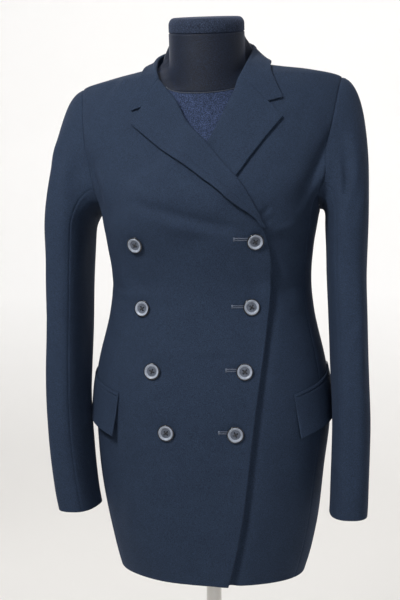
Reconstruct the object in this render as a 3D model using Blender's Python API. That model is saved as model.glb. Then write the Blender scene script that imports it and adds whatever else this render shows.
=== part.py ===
"""A long double-breasted blazer on a limbless dress form, as the pieces a tailor cuts and sews.

Lengths in the tables are millimetres and angles are degrees. +X is the viewer's right, which
is the wearer's left, -Y is the front and +Z is up. The origin is the middle of the stand's
underside, on the floor. Right and left in the names are the wearer's.
"""

import math

import bmesh
import bpy
import numpy as np
from mathutils import Matrix, Vector

MM = 0.001
CLOTH = 2.0  # fused wool, its canvas and its lining, as one wall
SEAM = 0.3  # between two pieces that are sewn together
SEAM_CLEAR = SEAM + 0.05  # where a curved seam's straight edges need a little more
LYING = 0.8  # between a piece and the cloth that it lies on
TOP = LYING + CLOTH  # outer side of a piece that lies on another
OVERLAP_GAP = 1.2  # between the two fronts where one passes over the other
RIGHT, LEFT = -1, 1
SIDE_NAMES = {RIGHT: "right", LEFT: "left"}

NAVY = (0.014, 0.020, 0.032)
JERSEY = (0.008, 0.009, 0.012)
HORN = (0.22, 0.23, 0.25)
CHROME = (0.75, 0.76, 0.78)

# Horizontal sections of the buttoned jacket: height, half width, depth to the front and to
# the back, and the power of the rounded outline. Above the underarm the sides are cut away
# by the armholes, and the half width from 1424 up is the slope of the shoulder seams.
BODY = (
    (700, 134, 108, 98, 2.2),
    (755, 150, 114, 106, 2.3),
    (835, 163, 121, 118, 2.4),
    (900, 171, 124, 124, 2.4),
    (950, 175, 125, 125, 2.4),
    (998, 172, 121, 118, 2.4),
    (1050, 160, 113, 98, 2.3),
    (1118, 147, 108, 78, 2.2),
    (1150, 147, 115, 80, 2.3),
    (1200, 156, 129, 90, 2.6),
    (1235, 163, 130, 96, 2.6),
    (1260, 177, 124, 98, 2.6),
    (1290, 193, 112, 99, 2.5),
    (1320, 205, 102, 97, 2.4),
    (1360, 212, 89, 90, 2.2),
    (1400, 208, 74, 78, 1.9),
    (1424, 195, 61, 66, 1.7),
    (1436, 155, 52, 60, 1.6),
    (1443, 115, 46, 56, 1.6),
    (1447.5, 90, 42, 53, 1.6),
    (1459, 66, 37, 45, 1.7),
    (1466, 60, 34, 42, 1.8),
)

# Seams of the side bodies: height, angle from centre front of the front and the back seam.
SIDE_SEAMS = (
    (700, 62, 118),
    (950, 63, 118),
    (1118, 66, 113),
    (1245, 66, 116),
)

# Armhole above the side body: height, then how far out the front and the back edge lie.
ARMHOLE = (
    (1245, 161, 159),
    (1262, 165, 164),
    (1285, 170, 170),
    (1311, 175, 175),
    (1335, 179, 180),
    (1360, 183, 184.5),
    (1382, 187, 188),
    (1400, 190, 191),
    (1416, 193, 193.5),
    (1424, 195, 195),
)
UNDERARM, TIP, NECK_POINT = 1245, 1424, 1447
UNDERARM_DIP = 13

# Front edge, roll line from the break at 1193 to the gorge at 1416, then neck seam:
# height and x, counted towards the wearer's left on the right front and mirrored on the left.
BREAK, GORGE = 1193, 1416
EDGE = {
    RIGHT: (
        (700, 33), (754, 47), (812, 58), (871, 66), (927, 73), (983, 80), (1040, 87),
        (1100, 92), (1150, 94), (1180, 91.5), (BREAK, 89), (1207, 82.6), (1226, 72.9),
        (1254, 55.9), (1280, 33.5), (1311, 9), (1345, -21), (1383, -41.5), (1403, -58),
        (GORGE, -68), (1424, -76), (1432, -82), (1440, -87), (NECK_POINT, -90),
    ),
    LEFT: (
        (700, 33), (754, 47), (812, 58), (871, 66), (927, 73), (983, 80), (1040, 87),
        (1100, 92), (1150, 94), (1180, 91.5), (BREAK, 89), (1207, 82.6), (1226, 72),
        (1254, 52), (1280, 25), (1311, -9), (1333, -22), (1371, -38.7), (1393, -48),
        (GORGE, -54), (1435, -70), (NECK_POINT, -88),
    ),
}

# Outer edge of each turned-back lapel, from just above the break to its tip: x and height,
# with x counted outwards from centre front on the lapel's own side.
LAPEL_EDGE = {
    RIGHT: ((-82, 1201), (-76, 1209), (-50.5, 1227.5), (-15, 1254.5), (41, 1297), (100, 1348)),
    LEFT: (
        (-82, 1199), (-78, 1201), (-40, 1213), (10, 1236), (48.9, 1264), (68.7, 1293),
        (92.5, 1326), (113, 1352),
    ),
}
LAPEL_START = 1197
NOTCH = {RIGHT: (87, 1375), LEFT: (92, 1376)}
COLLAR_TIP = {RIGHT: (103, 1370), LEFT: (113, 1382)}

# Fold of the collar, as the middle of its roll: share of the way from gorge to centre back,
# x outwards, y and height. The right side gapes from the neck and the left side hugs it.
COLLAR_ROLL = {
    RIGHT: (
        (0.1, 72, -51, 1428), (0.2, 75.5, -38, 1440), (0.4, 80, -4, 1461), (0.7, 58, 33, 1484),
        (1, 0, 52, 1497),
    ),
    LEFT: ((0.2, 61, -46, 1438), (0.4, 68, -8, 1468), (0.7, 51, 30, 1489), (1, 0, 52, 1497)),
}
# Outer edge of the collar on the shoulders: share, x outwards and height.
COLLAR_EDGE = (
    (0.14, 102.5, 1402),
    (0.27, 100.5, 1427),
    (0.4, 99.5, 1445.4),
    (0.55, 89, 1444.5),
    (0.7, 66, 1444.5),
    (0.85, 35, 1446),
    (1, 0, 1448),
)
COLLAR_SHOULDER = 0.4  # share at which the collar passes the shoulder seam
SHOULDER_RAISE, SHOULDER_REACH = 1.6, 0.17  # its edge is eased over the seam's ridge

# Sleeve sections: height, x outwards and y of the middle, half width and half depth, and how
# far both sleeves swing towards the wearer's left there.
SLEEVE = (
    (1205, 206.5, -14, 30, 64, -6.5),
    (1150, 205.3, -21, 28, 61.5, -6.5),
    (1080, 204, -36, 26.5, 59.5, -4),
    (1010, 203.5, -52, 26, 56.5, -1.8),
    (950, 202.3, -63, 25.5, 53, 0.6),
    (880, 199, -68, 25.5, 50, 3),
    (830, 194.5, -70, 25.5, 47.5, 5.6),
    (804, 191, -71, 25.5, 46, 7.2),
)
SLEEVE_YAW = 4  # the front of each sleeve turns outwards
SLEEVE_POWER = 2.1
CAP_ROWS = (0.0, 0.1, 0.25, 0.42, 0.6, 0.8, 1.0)
FRONT_SLEEVE_SEAM, BACK_SLEEVE_SEAM = 8, 19  # stations round the armhole from the shoulder tip
CAP_TURN, CAP_OUT = 0.4, 0.9  # a cap leaves its seam partly off the cloth, partly sideways
CAP_SWELL, CAP_SWELL_MAX, CAP_SWELL_SHARE = 0.3, 18, 0.1
CAP_FALL = 0.38

# Broad folds: which face, x and height of both ends, height above the cloth and half width.
FOLDS = (
    ("front", 180, 1338, 131, 1218, -4.0, 12),
    ("front", 192, 1320, 150, 1215, 3.0, 12),
    ("front", -174, 1325, -138, 1228, -3.0, 13),
    ("front", -60, 1228, 80, 1190, -1.6, 12),
    ("front", -130, 1135, -30, 1110, -1.6, 14),
    ("front", 130, 1140, 60, 1112, -1.6, 14),
    ("back", 130, 1150, 40, 1118, -2.5, 14),
    ("back", -135, 1132, -30, 1108, -2.2, 13),
    ("back", 165, 1330, 120, 1220, -3.0, 14),
    ("back", -168, 1325, -118, 1205, -3.0, 14),
)

# Buttons: height, then x of the middle of the pair and half the distance between the two.
BUTTONS = ((1178, -4.5, 79.5), (1089, -6.5, 75.5), (1002, -2.5, 63.5), (919, 1.3, 47))
# Turned outline of a button from its thread shank to the dished middle: radius, height.
BUTTON_OUTLINE = (
    (3.2, 0.3), (3.2, 1.3), (9.6, 1.4), (11.5, 2.6), (10.7, 4.1), (8.8, 4.3), (7.2, 3.2),
)
BUTTON_STEPS = 14
HOLE_RADIUS, HOLE_REACH, HOLE_DEPTH, HOLE_STEPS = 1.1, 2.9, 1.2, 5

# Flap: front corner and slope of its top edge, depth, and how far its foot stands off.
FLAP_X = {RIGHT: 116, LEFT: 126}
FLAP_FRONT_Z, FLAP_BACK_Z, FLAP_BACK_ANGLE = 965, 1002, 97
FLAP_DEPTH, FLAP_RAKE, FLAP_FLARE_FRONT, FLAP_FLARE_BACK = 54, 2.4, 8.0, 1.0
JET_DEPTH = 5

# The form: its flat underside, the distance of its skin inside the cloth at the front and at
# the sides, and its rows.
FORM_FLOOR = 782
FORM_EASE = (
    (780, 16, 12), (950, 10, 8), (1118, 8, 8), (1235, 9, 9), (1320, 8, 9), (1400, 6, 1.3),
    (1466, 5, 1.3),
)
FORM_ROWS = (
    780, 850, 915, 975, 1035, 1080, 1118, 1160, 1205, 1240, 1275, 1311, 1350, 1382, 1402, 1416,
    1424, 1430, 1436, 1441, 1445, 1449, 1453.5,
)
NECK_ROWS = ((1459, 1.02), (1466, 1.0), (1474, 1.0))  # height and share of the neck's width
FORM_STEPS = 32
ARM_PLATE = 172  # the flat ends of the form's shoulders
NECK_HALF_WIDTH, NECK_HALF_DEPTH, NECK_Y, NECK_LEAN = 55.5, 56, -25, 0.12
NECK_TOP, CAP_TOP = 1474, 1495  # the neck's top is where its last row is
NECK_BLEND = 9
CAP_RIM, CAP_ROUND, CAP_TURNS = 0.45, 0.22, (0, 25, 50, 72)

# The stand.
POLE_RADIUS, BASE_RADIUS, BASE_EDGE, BASE_CROWN = 11.2, 150, 6, 9
SOCKET_RADIUS, SOCKET_TOP, SOCKET_FLOOR = 17, 32, 10

LOWER_ROWS = (700, 770, 845, 916, 958, 999, 1042, 1086, 1120, 1150, 1176, BREAK, 1212, 1229, UNDERARM)
UPPER_ROWS = (1262, 1285, 1311, 1335, 1360, 1382, 1400, GORGE, TIP)
SHOULDER_ROWS = (1430, 1436, 1441, 1444.5, NECK_POINT)
FRONT_COLUMNS, SIDE_COLUMNS, BACK_COLUMNS = 14, 6, 8
HEM, HEM_TILT = 708, 3
NECK_RISE = 12


def smooth(x, xs, ys):
    """Monotone cubic curve through the points (xs, ys), read at x."""
    xs, ys = np.asarray(xs, float), np.asarray(ys, float)
    steps = np.diff(xs)
    rises = np.diff(ys) / steps
    slopes = np.zeros(len(xs))
    slopes[0], slopes[-1] = rises[0], rises[-1]
    before, after = rises[:-1], rises[1:]
    same = before * after > 0
    slopes[1:-1][same] = 2 * before[same] * after[same] / (before[same] + after[same])
    x = np.clip(np.asarray(x, float), xs[0], xs[-1])
    i = np.clip(np.searchsorted(xs, x, side="right") - 1, 0, len(xs) - 2)
    h = steps[i]
    s = (x - xs[i]) / h
    ends = ys[i] * (1 + 2 * s) * (1 - s) ** 2 + ys[i + 1] * s * s * (3 - 2 * s)
    return ends + h * (slopes[i] * s * (1 - s) ** 2 - slopes[i + 1] * s * s * (1 - s))


def read(table, z, column):
    """One column of a table of heights, read at z."""
    rows = np.array([[row[0], row[column]] for row in table], float)
    return smooth(z, rows[:, 0], rows[:, 1])


def ramp(x, low, high):
    """0 below low, 1 above high and a soft step between."""
    s = np.clip((np.asarray(x, float) - low) / (high - low), 0, 1)
    return s * s * (3 - 2 * s)


def unit(v):
    return v / np.maximum(np.linalg.norm(v, axis=-1, keepdims=True), 1e-9)


def mirrored(points, side):
    """Points of the left half as they are, or turned over to the right half."""
    return points * np.array([side, 1.0, 1.0])


def outline(t, power):
    """Sine and cosine of the angle t on a rounded outline of size one."""
    s, c = np.sin(t), np.cos(t)
    k = (np.abs(s) ** power + np.abs(c) ** power) ** (-1 / power)
    return s * k, c * k


def base(t, z):
    """Point of the jacket's smooth outside at angle t from centre front and height z."""
    half, front, back, power = (read(BODY, z, i) for i in (1, 2, 3, 4))
    s, c = outline(t, power)
    y = -np.where(c > 0, front, back) * c
    return np.stack([half * s, y, np.broadcast_to(z, s.shape) + 0.0], -1)


def normal(t, z):
    """Direction out of the cloth at (t, z)."""
    dt, dz = 0.01, 0.6
    across = base(t + dt, z) - base(t - dt, z)
    up = base(t, z + dz) - base(t, z - dz)
    return unit(np.cross(across, up))


def fold_height(points, t):
    """How far the broad folds lift or sink the cloth at the points."""
    total = np.zeros(points.shape[:-1])
    for face, x1, z1, x2, z2, height, half_width in FOLDS:
        along = np.array([x2 - x1, z2 - z1], float)
        length = np.linalg.norm(along)
        along /= length
        dx, dz = points[..., 0] - x1, points[..., 2] - z1
        share = np.clip((dx * along[0] + dz * along[1]) / length, 0, 1)
        aside = dx * along[1] - dz * along[0]
        bump = height * np.exp(-((aside / half_width) ** 2)) * np.sin(np.pi * share) ** 1.2
        total += np.where((np.cos(t) > 0) == (face == "front"), bump, 0)
    return total


def skin(t, z, out=0.0):
    """Point of the cloth's outside at (t, z), moved out by out."""
    t, z = np.broadcast_arrays(np.asarray(t, float), np.asarray(z, float))
    points = base(t, z)
    lift = out + fold_height(points, t)
    return points + normal(t, z) * lift[..., None]


def front_angle(x, z):
    """Angle from centre front of the front's point at (x, z)."""
    power = read(BODY, z, 4)
    s = np.clip(np.abs(x) / read(BODY, z, 1), 0, 1)
    c = (1 - s**power) ** (1 / power)
    return np.sign(x) * np.arctan2(s, c)


def outer_angle(z, face):
    """Angle of a front's or a back's outer edge: side seam, armhole, then shoulder seam."""
    column = 1 if face == "front" else 2
    seam = np.radians(read(SIDE_SEAMS, z, column))
    hole = front_angle(read(ARMHOLE, z, column), z)
    if face == "back":
        hole = np.pi - hole
    return np.where(z <= UNDERARM, seam, np.where(z >= TIP, np.pi / 2, hole))


def edge_x(z, side):
    """x of a front's inner edge at height z."""
    return -side * read(EDGE[side], z, 1)


def overlap_lift(x, z):
    """How far the right front stands off where the left front and lapel lie beneath it."""
    inside = x - edge_x(z, LEFT)
    edge = np.array(LAPEL_EDGE[LEFT], float)
    above = z - smooth(x, edge[:, 0], edge[:, 1])
    over_front = ramp(inside, -75, -10) * (CLOTH + OVERLAP_GAP)
    over_lapel = ramp(inside, -70, -16) * ramp(above, -55, -10) * (CLOTH + OVERLAP_GAP)
    return over_front + over_lapel * ramp(z, 1140, 1188)


def lifted_skin(t, z, side, out=0.0):
    """The skin of one front: the right front also passes over the left one."""
    if side == LEFT:
        return skin(t, z, out)
    points = base(t, z)
    return skin(t, z, out + overlap_lift(points[..., 0], points[..., 2]))


def material(name, colour, roughness, metallic=0.0):
    """A Principled material."""
    made = bpy.data.materials.new(name)
    made.use_nodes = True
    shader = made.node_tree.nodes["Principled BSDF"]
    shader.inputs["Base Color"].default_value = (*colour, 1.0)
    shader.inputs["Roughness"].default_value = roughness
    shader.inputs["Metallic"].default_value = metallic
    return made


def add_object(name, bm, colour, roughness, metallic=0.0):
    """An object of the closed mesh, whose points are in millimetres."""
    bmesh.ops.recalc_face_normals(bm, faces=bm.faces)
    bmesh.ops.scale(bm, vec=(MM, MM, MM), verts=bm.verts)
    mesh = bpy.data.meshes.new(name)
    bm.to_mesh(mesh)
    bm.free()
    mesh.shade_smooth()
    mesh.set_sharp_from_angle(angle=math.radians(40))
    mesh.materials.append(material(f"{name} material", colour, roughness, metallic))
    made = bpy.data.objects.new(name, mesh)
    bpy.context.collection.objects.link(made)
    return made


def trimmed(grid, amount):
    """The grid with its border moved in, for half a seam's gap."""
    grid = grid.copy()
    for border, inner in ((0, 1), (-1, -2)):
        grid[border] += unit(grid[inner] - grid[border]) * amount
        grid[:, border] += unit(grid[:, inner] - grid[:, border]) * amount
    return grid


def add_wall(name, outer, inner, colour=NAVY, roughness=0.85):
    """A closed wall of cloth between two grids of the same size."""
    trim = SEAM_CLEAR / 2
    outer, inner = trimmed(outer, trim), trimmed(inner, trim)
    bm = bmesh.new()
    skins = [[[bm.verts.new(p) for p in row] for row in grid] for grid in (outer, inner)]
    rows, columns = len(outer), len(outer[0])
    for grid in skins:
        for r in range(rows - 1):
            for c in range(columns - 1):
                bm.faces.new((grid[r][c], grid[r][c + 1], grid[r + 1][c + 1], grid[r + 1][c]))
    border = [(0, c) for c in range(columns)]
    border += [(r, columns - 1) for r in range(1, rows)]
    border += [(rows - 1, c) for c in range(columns - 2, -1, -1)]
    border += [(r, 0) for r in range(rows - 2, 0, -1)]
    for (r1, c1), (r2, c2) in zip(border, border[1:] + border[:1]):
        one, two = skins
        bm.faces.new((one[r1][c1], two[r1][c1], two[r2][c2], one[r2][c2]))
    return add_object(name, bm, colour, roughness)


def add_rings(name, rings, colour, roughness, metallic=0.0):
    """A closed body lofted through rings of the same number of points, with flat ends."""
    bm = bmesh.new()
    rings = [[bm.verts.new(p) for p in ring] for ring in rings]
    for low, high in zip(rings, rings[1:]):
        for a, b, c, d in zip(low, low[1:] + low[:1], high[1:] + high[:1], high):
            bm.faces.new((a, b, c, d))
    bm.faces.new(rings[0])
    bm.faces.new(rings[-1])
    return add_object(name, bm, colour, roughness, metallic)


def turned(name, profile, steps, colour, roughness, metallic=0.0):
    """A closed body turned round the Z axis from a profile of radius and height."""
    turns = [2 * math.pi * i / steps for i in range(steps)]
    rings = [[(r * math.cos(a), r * math.sin(a), z) for a in turns] for r, z in profile]
    return add_rings(name, rings, colour, roughness, metallic)


def panel_rows(rows, low, high, columns):
    """Angles and heights of a panel between the angles low(z) and high(z)."""
    z = np.array(rows, float)
    share = np.linspace(0, 1, columns + 1)[None, :]
    t = low(z)[:, None] * (1 - share) + high(z)[:, None] * share
    z = np.broadcast_to(z[:, None], t.shape).copy()
    z[0] = HEM - HEM_TILT * np.sin(t[0])
    return t, z


def add_fronts():
    rows = LOWER_ROWS + UPPER_ROWS + SHOULDER_ROWS
    for side in (RIGHT, LEFT):

        def outer(z):
            return side * outer_angle(z, "front")

        def inner(z, side=side):
            return front_angle(edge_x(z, side), z)

        t, z = panel_rows(rows, outer, inner, FRONT_COLUMNS)
        name = f"front_{SIDE_NAMES[side]}"
        add_wall(name, lifted_skin(t, z, side), lifted_skin(t, z, side, -CLOTH))


def add_side_bodies():
    for side in (RIGHT, LEFT):

        def front(z):
            return outer_angle(z, "front")

        def back(z):
            return outer_angle(z, "back")

        t, z = panel_rows(LOWER_ROWS, front, back, SIDE_COLUMNS)
        z[-1] -= underarm_dip(np.linspace(0, 1, SIDE_COLUMNS + 1))
        z[-2] -= underarm_dip(np.linspace(0, 1, SIDE_COLUMNS + 1)) / 2
        name = f"side_{SIDE_NAMES[side]}"
        add_wall(name, skin(side * t, z), skin(side * t, z, -CLOTH))


def underarm_dip(share):
    """How far the armhole sinks at a share of its way under the arm."""
    return UNDERARM_DIP * np.sin(np.pi * share)


def back_neck_z(t, z):
    """Height of a back's point: the rows above the shoulder tip rise towards the centre."""
    rise = NECK_RISE * ramp(t, np.pi / 2, np.pi)
    return z + rise * np.clip((z - TIP) / (NECK_POINT - TIP), 0, 1)


def add_backs():
    rows = LOWER_ROWS + UPPER_ROWS + SHOULDER_ROWS
    for side in (RIGHT, LEFT):

        def outer(z):
            return outer_angle(z, "back")

        def centre(z):
            return np.full(z.shape, np.pi)

        t, z = panel_rows(rows, outer, centre, BACK_COLUMNS)
        z = back_neck_z(t, z)
        name = f"back_{SIDE_NAMES[side]}"
        add_wall(name, skin(side * t, z), skin(side * t, z, -CLOTH))


def armhole_stations():
    """Angles and heights round the armhole: tip, front, underarm, back and tip again."""
    up = np.array((UNDERARM, *UPPER_ROWS), float)
    down = up[::-1]
    share = np.linspace(0, 1, SIDE_COLUMNS + 1)[1:-1]
    low = outer_angle(np.array(UNDERARM), "front")
    high = outer_angle(np.array(UNDERARM), "back")
    t = [outer_angle(down, "front"), low + (high - low) * share, outer_angle(up, "back")]
    z = [down, UNDERARM - underarm_dip(share), up]
    return np.concatenate(t), np.concatenate(z)


def sleeve_ring(z, turn, side):
    """Points of the sleeve's section at height z, at the angles turn from its outer side."""
    x, y, half, depth, swing = (read(SLEEVE[::-1], z, i) for i in (1, 2, 3, 4, 5))
    c, s = outline(np.pi / 2 - turn, SLEEVE_POWER)
    yaw = math.radians(SLEEVE_YAW)
    u, v = half * c, -depth * s
    points = [x + side * swing + u * math.cos(yaw) - v * math.sin(yaw)]
    points.append(y + u * math.sin(yaw) + v * math.cos(yaw))
    points.append(np.full(turn.shape, float(z)))
    return np.stack(points, -1)


def sleeve_grids(side):
    """Outer and inner points of one sleeve, in rows from the armhole to the cuff."""
    t, z = armhole_stations()
    start = mirrored(skin(side * t, z), side)[:-1]
    out = mirrored(skin(side * t, z, 1.0), side)[:-1] - start
    along = unit(np.roll(start, -1, 0) - np.roll(start, 1, 0))
    away = unit(np.cross(out, along))
    start = start + away * SEAM_CLEAR
    steps = np.linalg.norm(np.roll(start, -1, 0) - start, axis=-1)
    way = np.concatenate([[0], np.cumsum(steps)])
    lowest = len(start) // 2
    turn = np.where(
        np.arange(len(start)) <= lowest,
        np.pi * way[:-1] / way[lowest],
        np.pi + np.pi * (way[:-1] - way[lowest]) / (way[-1] - way[lowest]),
    )
    top, below = SLEEVE[0][0], SLEEVE[1][0]
    end = sleeve_ring(top, turn, side)
    fall = unit(sleeve_ring(below, turn, side) - end)
    span = np.linalg.norm(end - start, axis=-1, keepdims=True)
    leave = unit(away * CAP_TURN + np.array([CAP_OUT, 0, 0]))
    swell = np.minimum(CAP_SWELL * span, CAP_SWELL_MAX + CAP_SWELL_SHARE * span)
    first = start + leave * swell
    second = end - fall * span * CAP_FALL
    rows = []
    for v in CAP_ROWS:
        w = 1 - v
        rows.append(start * w**3 + first * 3 * w * w * v + second * 3 * w * v * v + end * v**3)
    rows += [sleeve_ring(z, turn, side) for z, *_ in SLEEVE[1:]]
    outer = np.array(rows)
    across = np.roll(outer, -1, 1) - np.roll(outer, 1, 1)
    down = np.gradient(outer, axis=0)
    inner = outer - unit(np.cross(across, down)) * CLOTH
    inner[0] = outer[0] - out * CLOTH
    return outer, inner


def add_sleeves():
    for side in (RIGHT, LEFT):
        outer, inner = sleeve_grids(side)
        count = outer.shape[1]
        under = list(range(FRONT_SLEEVE_SEAM, BACK_SLEEVE_SEAM + 1))
        over = [i % count for i in range(BACK_SLEEVE_SEAM, count + FRONT_SLEEVE_SEAM + 1)]
        for part, columns in (("top", over), ("under", under)):
            name = f"sleeve_{part}_{SIDE_NAMES[side]}"
            add_wall(name, mirrored(outer[:, columns], side), mirrored(inner[:, columns], side))


def roll_frames(t, z, side):
    """Points of a front's inner edge, with the directions out of the cloth and off its edge.

    All are turned over to the left half.
    """
    points = mirrored(lifted_skin(side * t, z, side), side)
    out = unit(mirrored(lifted_skin(side * t, z, side, 1.0), side) - points)
    along = unit(np.gradient(points, axis=0))
    return points, out, unit(np.cross(out, along))


ROLL_TURNS = np.radians([120, 80, 40, 0])
# Radii of the cloth's outside and inside round the edge: off the edge, out of the cloth.
WRAP_OUTER, WRAP_INNER, WRAP_RAISE = (3.8, 2.3), (1.8, 0.3), 0.8


def wrap(points, out, off, turns, radii, raised):
    """Points that curl round an edge at the given turns, in a column for each turn."""
    columns = []
    for turn in turns:
        reach = radii[0] * np.sin(turn)
        height = raised + radii[1] * np.cos(turn)
        columns.append(points + off * reach + out * height)
    return np.stack(columns, 1)


def along_path(path, shares):
    """Points at shares of the length of a soft path through the given points."""
    path = np.array(path, float)
    way = np.concatenate([[0], np.cumsum(np.linalg.norm(np.diff(path, axis=0), axis=-1))])
    return np.stack([smooth(np.asarray(shares) * way[-1], way, path[:, i]) for i in (0, 1)], -1)


LAPEL_ROWS = 14
LAPEL_RISE = 0.4  # a lapel lies a little looser than the other pieces
GORGE_SHARES = (0.19, 0.37, 0.56)
BEYOND_NOTCH = (0.78, 1.0)


def gorge_point(side, share, tip):
    """x and height at a share of the way from the gorge's end over the notch to a tip."""
    start = (-float(read(EDGE[side], GORGE, 1)), GORGE)
    notch_share = GORGE_SHARES[-1]
    if share <= notch_share:
        one, two, s = start, NOTCH[side], share / notch_share
    else:
        one, two, s = NOTCH[side], tip, (share - notch_share) / (1 - notch_share)
    return np.array(one) * (1 - s) + np.array(two) * s


def roll_line(side):
    """x and height of the lapel's rows along the roll line, with their frames."""
    z = np.linspace(LAPEL_START, GORGE, LAPEL_ROWS + 1)
    x = -read(EDGE[side], z, 1)
    return x, z, roll_frames(front_angle(x, z), z, side)


def add_lapels():
    rows = np.linspace(0, 1, LAPEL_ROWS + 1)
    for side in (RIGHT, LEFT):
        x, z, (edge, out, off) = roll_line(side)
        curl = wrap(edge, out, off, ROLL_TURNS, WRAP_OUTER, WRAP_RAISE)
        curl_in = wrap(edge, out, off, ROLL_TURNS, WRAP_INNER, WRAP_RAISE)
        outer, inner = [curl], [curl_in]
        roll = np.stack([x, z], -1)
        far = along_path(LAPEL_EDGE[side], rows)
        for share in GORGE_SHARES + BEYOND_NOTCH:
            place = roll * (1 - share) + far * share
            last = gorge_point(side, share, LAPEL_EDGE[side][-1])
            place = place + rows[:, None] ** 3 * (last - place[-1])
            t = side * front_angle(place[:, 0], place[:, 1])
            for grid, out_by in ((outer, TOP), (inner, LYING)):
                points = lifted_skin(t, place[:, 1], side, out_by + LAPEL_RISE)
                grid.append(mirrored(points, side)[:, None])
        outer, inner = np.concatenate(outer, 1), np.concatenate(inner, 1)
        add_wall(f"lapel_{SIDE_NAMES[side]}", mirrored(outer, side), mirrored(inner, side))


STAND_SHARES = (1.0, 0.66, 0.33)
FALL_SHARES = GORGE_SHARES + BEYOND_NOTCH
COLLAR_RADIUS = 3.4
# Foot of the collar at the gorge, where it has curled round the edge: off it, into the cloth.
FOOT_OUT, FOOT_IN = (2.5, 2.6), (0.6, 2.0)
# Bend of the fall: weights of its outer edge and of the neck seam, and how far it bows out.
BEND_EDGE, BEND_SEAM, BEND_OUT = 0.55, 0.45, 7


def collar_half(side):
    """Outer and inner points of half the collar, from the gorge to centre back."""
    front_rows = np.array([GORGE, TIP, *SHOULDER_ROWS], float)
    front_t = front_angle(-read(EDGE[side], front_rows, 1), front_rows)
    back_t = np.linspace(np.pi / 2, np.pi, BACK_COLUMNS + 1)
    t = np.concatenate([front_t, back_t])
    z = np.concatenate([front_rows, back_neck_z(back_t, np.full(back_t.shape, float(NECK_POINT)))])
    seam, out, off = roll_frames(t, z, side)
    gorge_frames = roll_line(side)[2]
    for own, lapels in zip((seam, out, off), gorge_frames):
        own[0] = lapels[-1]
    way = np.concatenate([[0], np.cumsum(np.linalg.norm(np.diff(seam, axis=0), axis=-1))])
    u = way / way[-1]
    rows = [(0.0, *seam[0]), *COLLAR_ROLL[side]]
    u_over, x_over, *rest = rows[-2]
    rows.append((2 - u_over, -x_over, *rest))
    table = np.array(rows, float)
    middle = np.stack([smooth(u, table[:, 0], table[:, i]) for i in (1, 2, 3)], -1)
    turned_up = ramp(u, 0, 0.4)[:, None]
    aside = middle * [1, 1, 0] - np.array([0, NECK_Y, 0])
    outward = unit(out[0] * (1 - turned_up) + unit(aside) * turned_up)
    up = unit(off[0] * (1 - turned_up) + np.array([0, 0, 1.0]) * turned_up)
    up = unit(up - outward * np.sum(up * outward, -1, keepdims=True))
    grown = ramp(u, 0, 0.25)[:, None]
    outer, inner = [], []
    low_turn = np.radians(120 + 60 * grown)
    for share in (1.0, 0.67, 0.33, 0.0):
        turn = low_turn * share
        for grid, start_radii, radius in (
            (outer, WRAP_OUTER, COLLAR_RADIUS),
            (inner, WRAP_INNER, COLLAR_RADIUS - CLOTH),
        ):
            reach = start_radii[0] * (1 - grown) + radius * grown
            rise = start_radii[1] * (1 - grown) + radius * grown
            raised = WRAP_RAISE * (1 - grown)
            grid.append(middle + up * reach * np.sin(turn) + outward * (raised + rise * np.cos(turn)))
    grows = ramp(u, 0, 0.12)[:, None]
    off_out = FOOT_OUT[0] * (1 - grows) + SEAM_CLEAR * grows
    off_in = FOOT_IN[0] * (1 - grows) + SEAM_CLEAR * grows
    foot_out = seam + off * off_out - out * (FOOT_OUT[1] * (1 - grows) + CLOTH * grows)
    foot_in = seam + off * off_in - out * FOOT_IN[1] * (1 - grows)
    stand_out = [outer[0] * (1 - s) + foot_out * s for s in STAND_SHARES]
    stand_in = [inner[0] * (1 - s) + foot_in * s for s in STAND_SHARES]
    fall_out, fall_in = collar_fall(side, u, outer[-1], inner[-1], seam, out)
    outer = np.stack(stand_out + outer + fall_out, 1)
    inner = np.stack(stand_in + inner + fall_in, 1)
    return mirrored(outer, side), mirrored(inner, side)


def collar_fall(side, u, top, top_in, seam, out):
    """Columns of the collar from its fold down to its outer edge on the shoulders."""
    table = np.array([(0.0, *COLLAR_TIP[side]), *COLLAR_EDGE], float)
    x, z = (smooth(u, table[:, 0], table[:, i]) for i in (1, 2))
    t = front_angle(x, z)
    t = np.where(u > COLLAR_SHOULDER, np.pi - t, t)
    edge = mirrored(skin(side * t, z, TOP), side)
    edge_out = unit(mirrored(skin(side * t, z, TOP + 1), side) - edge)
    edge[:, 2] += SHOULDER_RAISE * np.exp(-(((u - COLLAR_SHOULDER) / SHOULDER_REACH) ** 2))
    bend = edge * BEND_EDGE + seam * BEND_SEAM + edge_out * BEND_OUT * ramp(u, 0, 0.3)[:, None]
    start_out = unit(top - top_in)
    outer, inner = [], []
    near = (1 - ramp(u, 0, 0.3))[:, None]
    for share in FALL_SHARES:
        w = 1 - share
        points = top * w * w + bend * 2 * w * share + edge * share**2
        x, height = gorge_point(side, share, COLLAR_TIP[side])
        first = mirrored(skin(side * front_angle(np.array(x), height), height, TOP), side)
        points = points + near * (first - points[0])
        points = off_the_front(points, side, TOP)
        turn = unit(start_out * w + edge_out * share)
        outer.append(points)
        inner.append(off_the_front(points - turn * CLOTH, side, LYING))
    return outer, inner


def off_the_front(points, side, out):
    """Points moved forwards where they lie deeper than out above the front's cloth."""
    points = points.copy()
    x, z = points[:, 0], points[:, 2]
    chest = (z < 1446) & (points[:, 1] < -4) & (x < read(BODY, z, 1) - 1)
    cloth = mirrored(skin(side * front_angle(x, z), z, 0.0), side)
    facing = mirrored(normal(side * front_angle(x, z), z), side)
    limit = cloth[:, 1] + out / np.minimum(facing[:, 1], -0.2)
    points[:, 1] = np.where(chest, np.minimum(points[:, 1], limit), points[:, 1])
    return points


def add_collar():
    right_out, right_in = collar_half(RIGHT)
    left_out, left_in = collar_half(LEFT)
    outer = np.concatenate([right_out, left_out[-2::-1]])
    inner = np.concatenate([right_in, left_in[-2::-1]])
    add_wall("collar", outer, inner)


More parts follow.
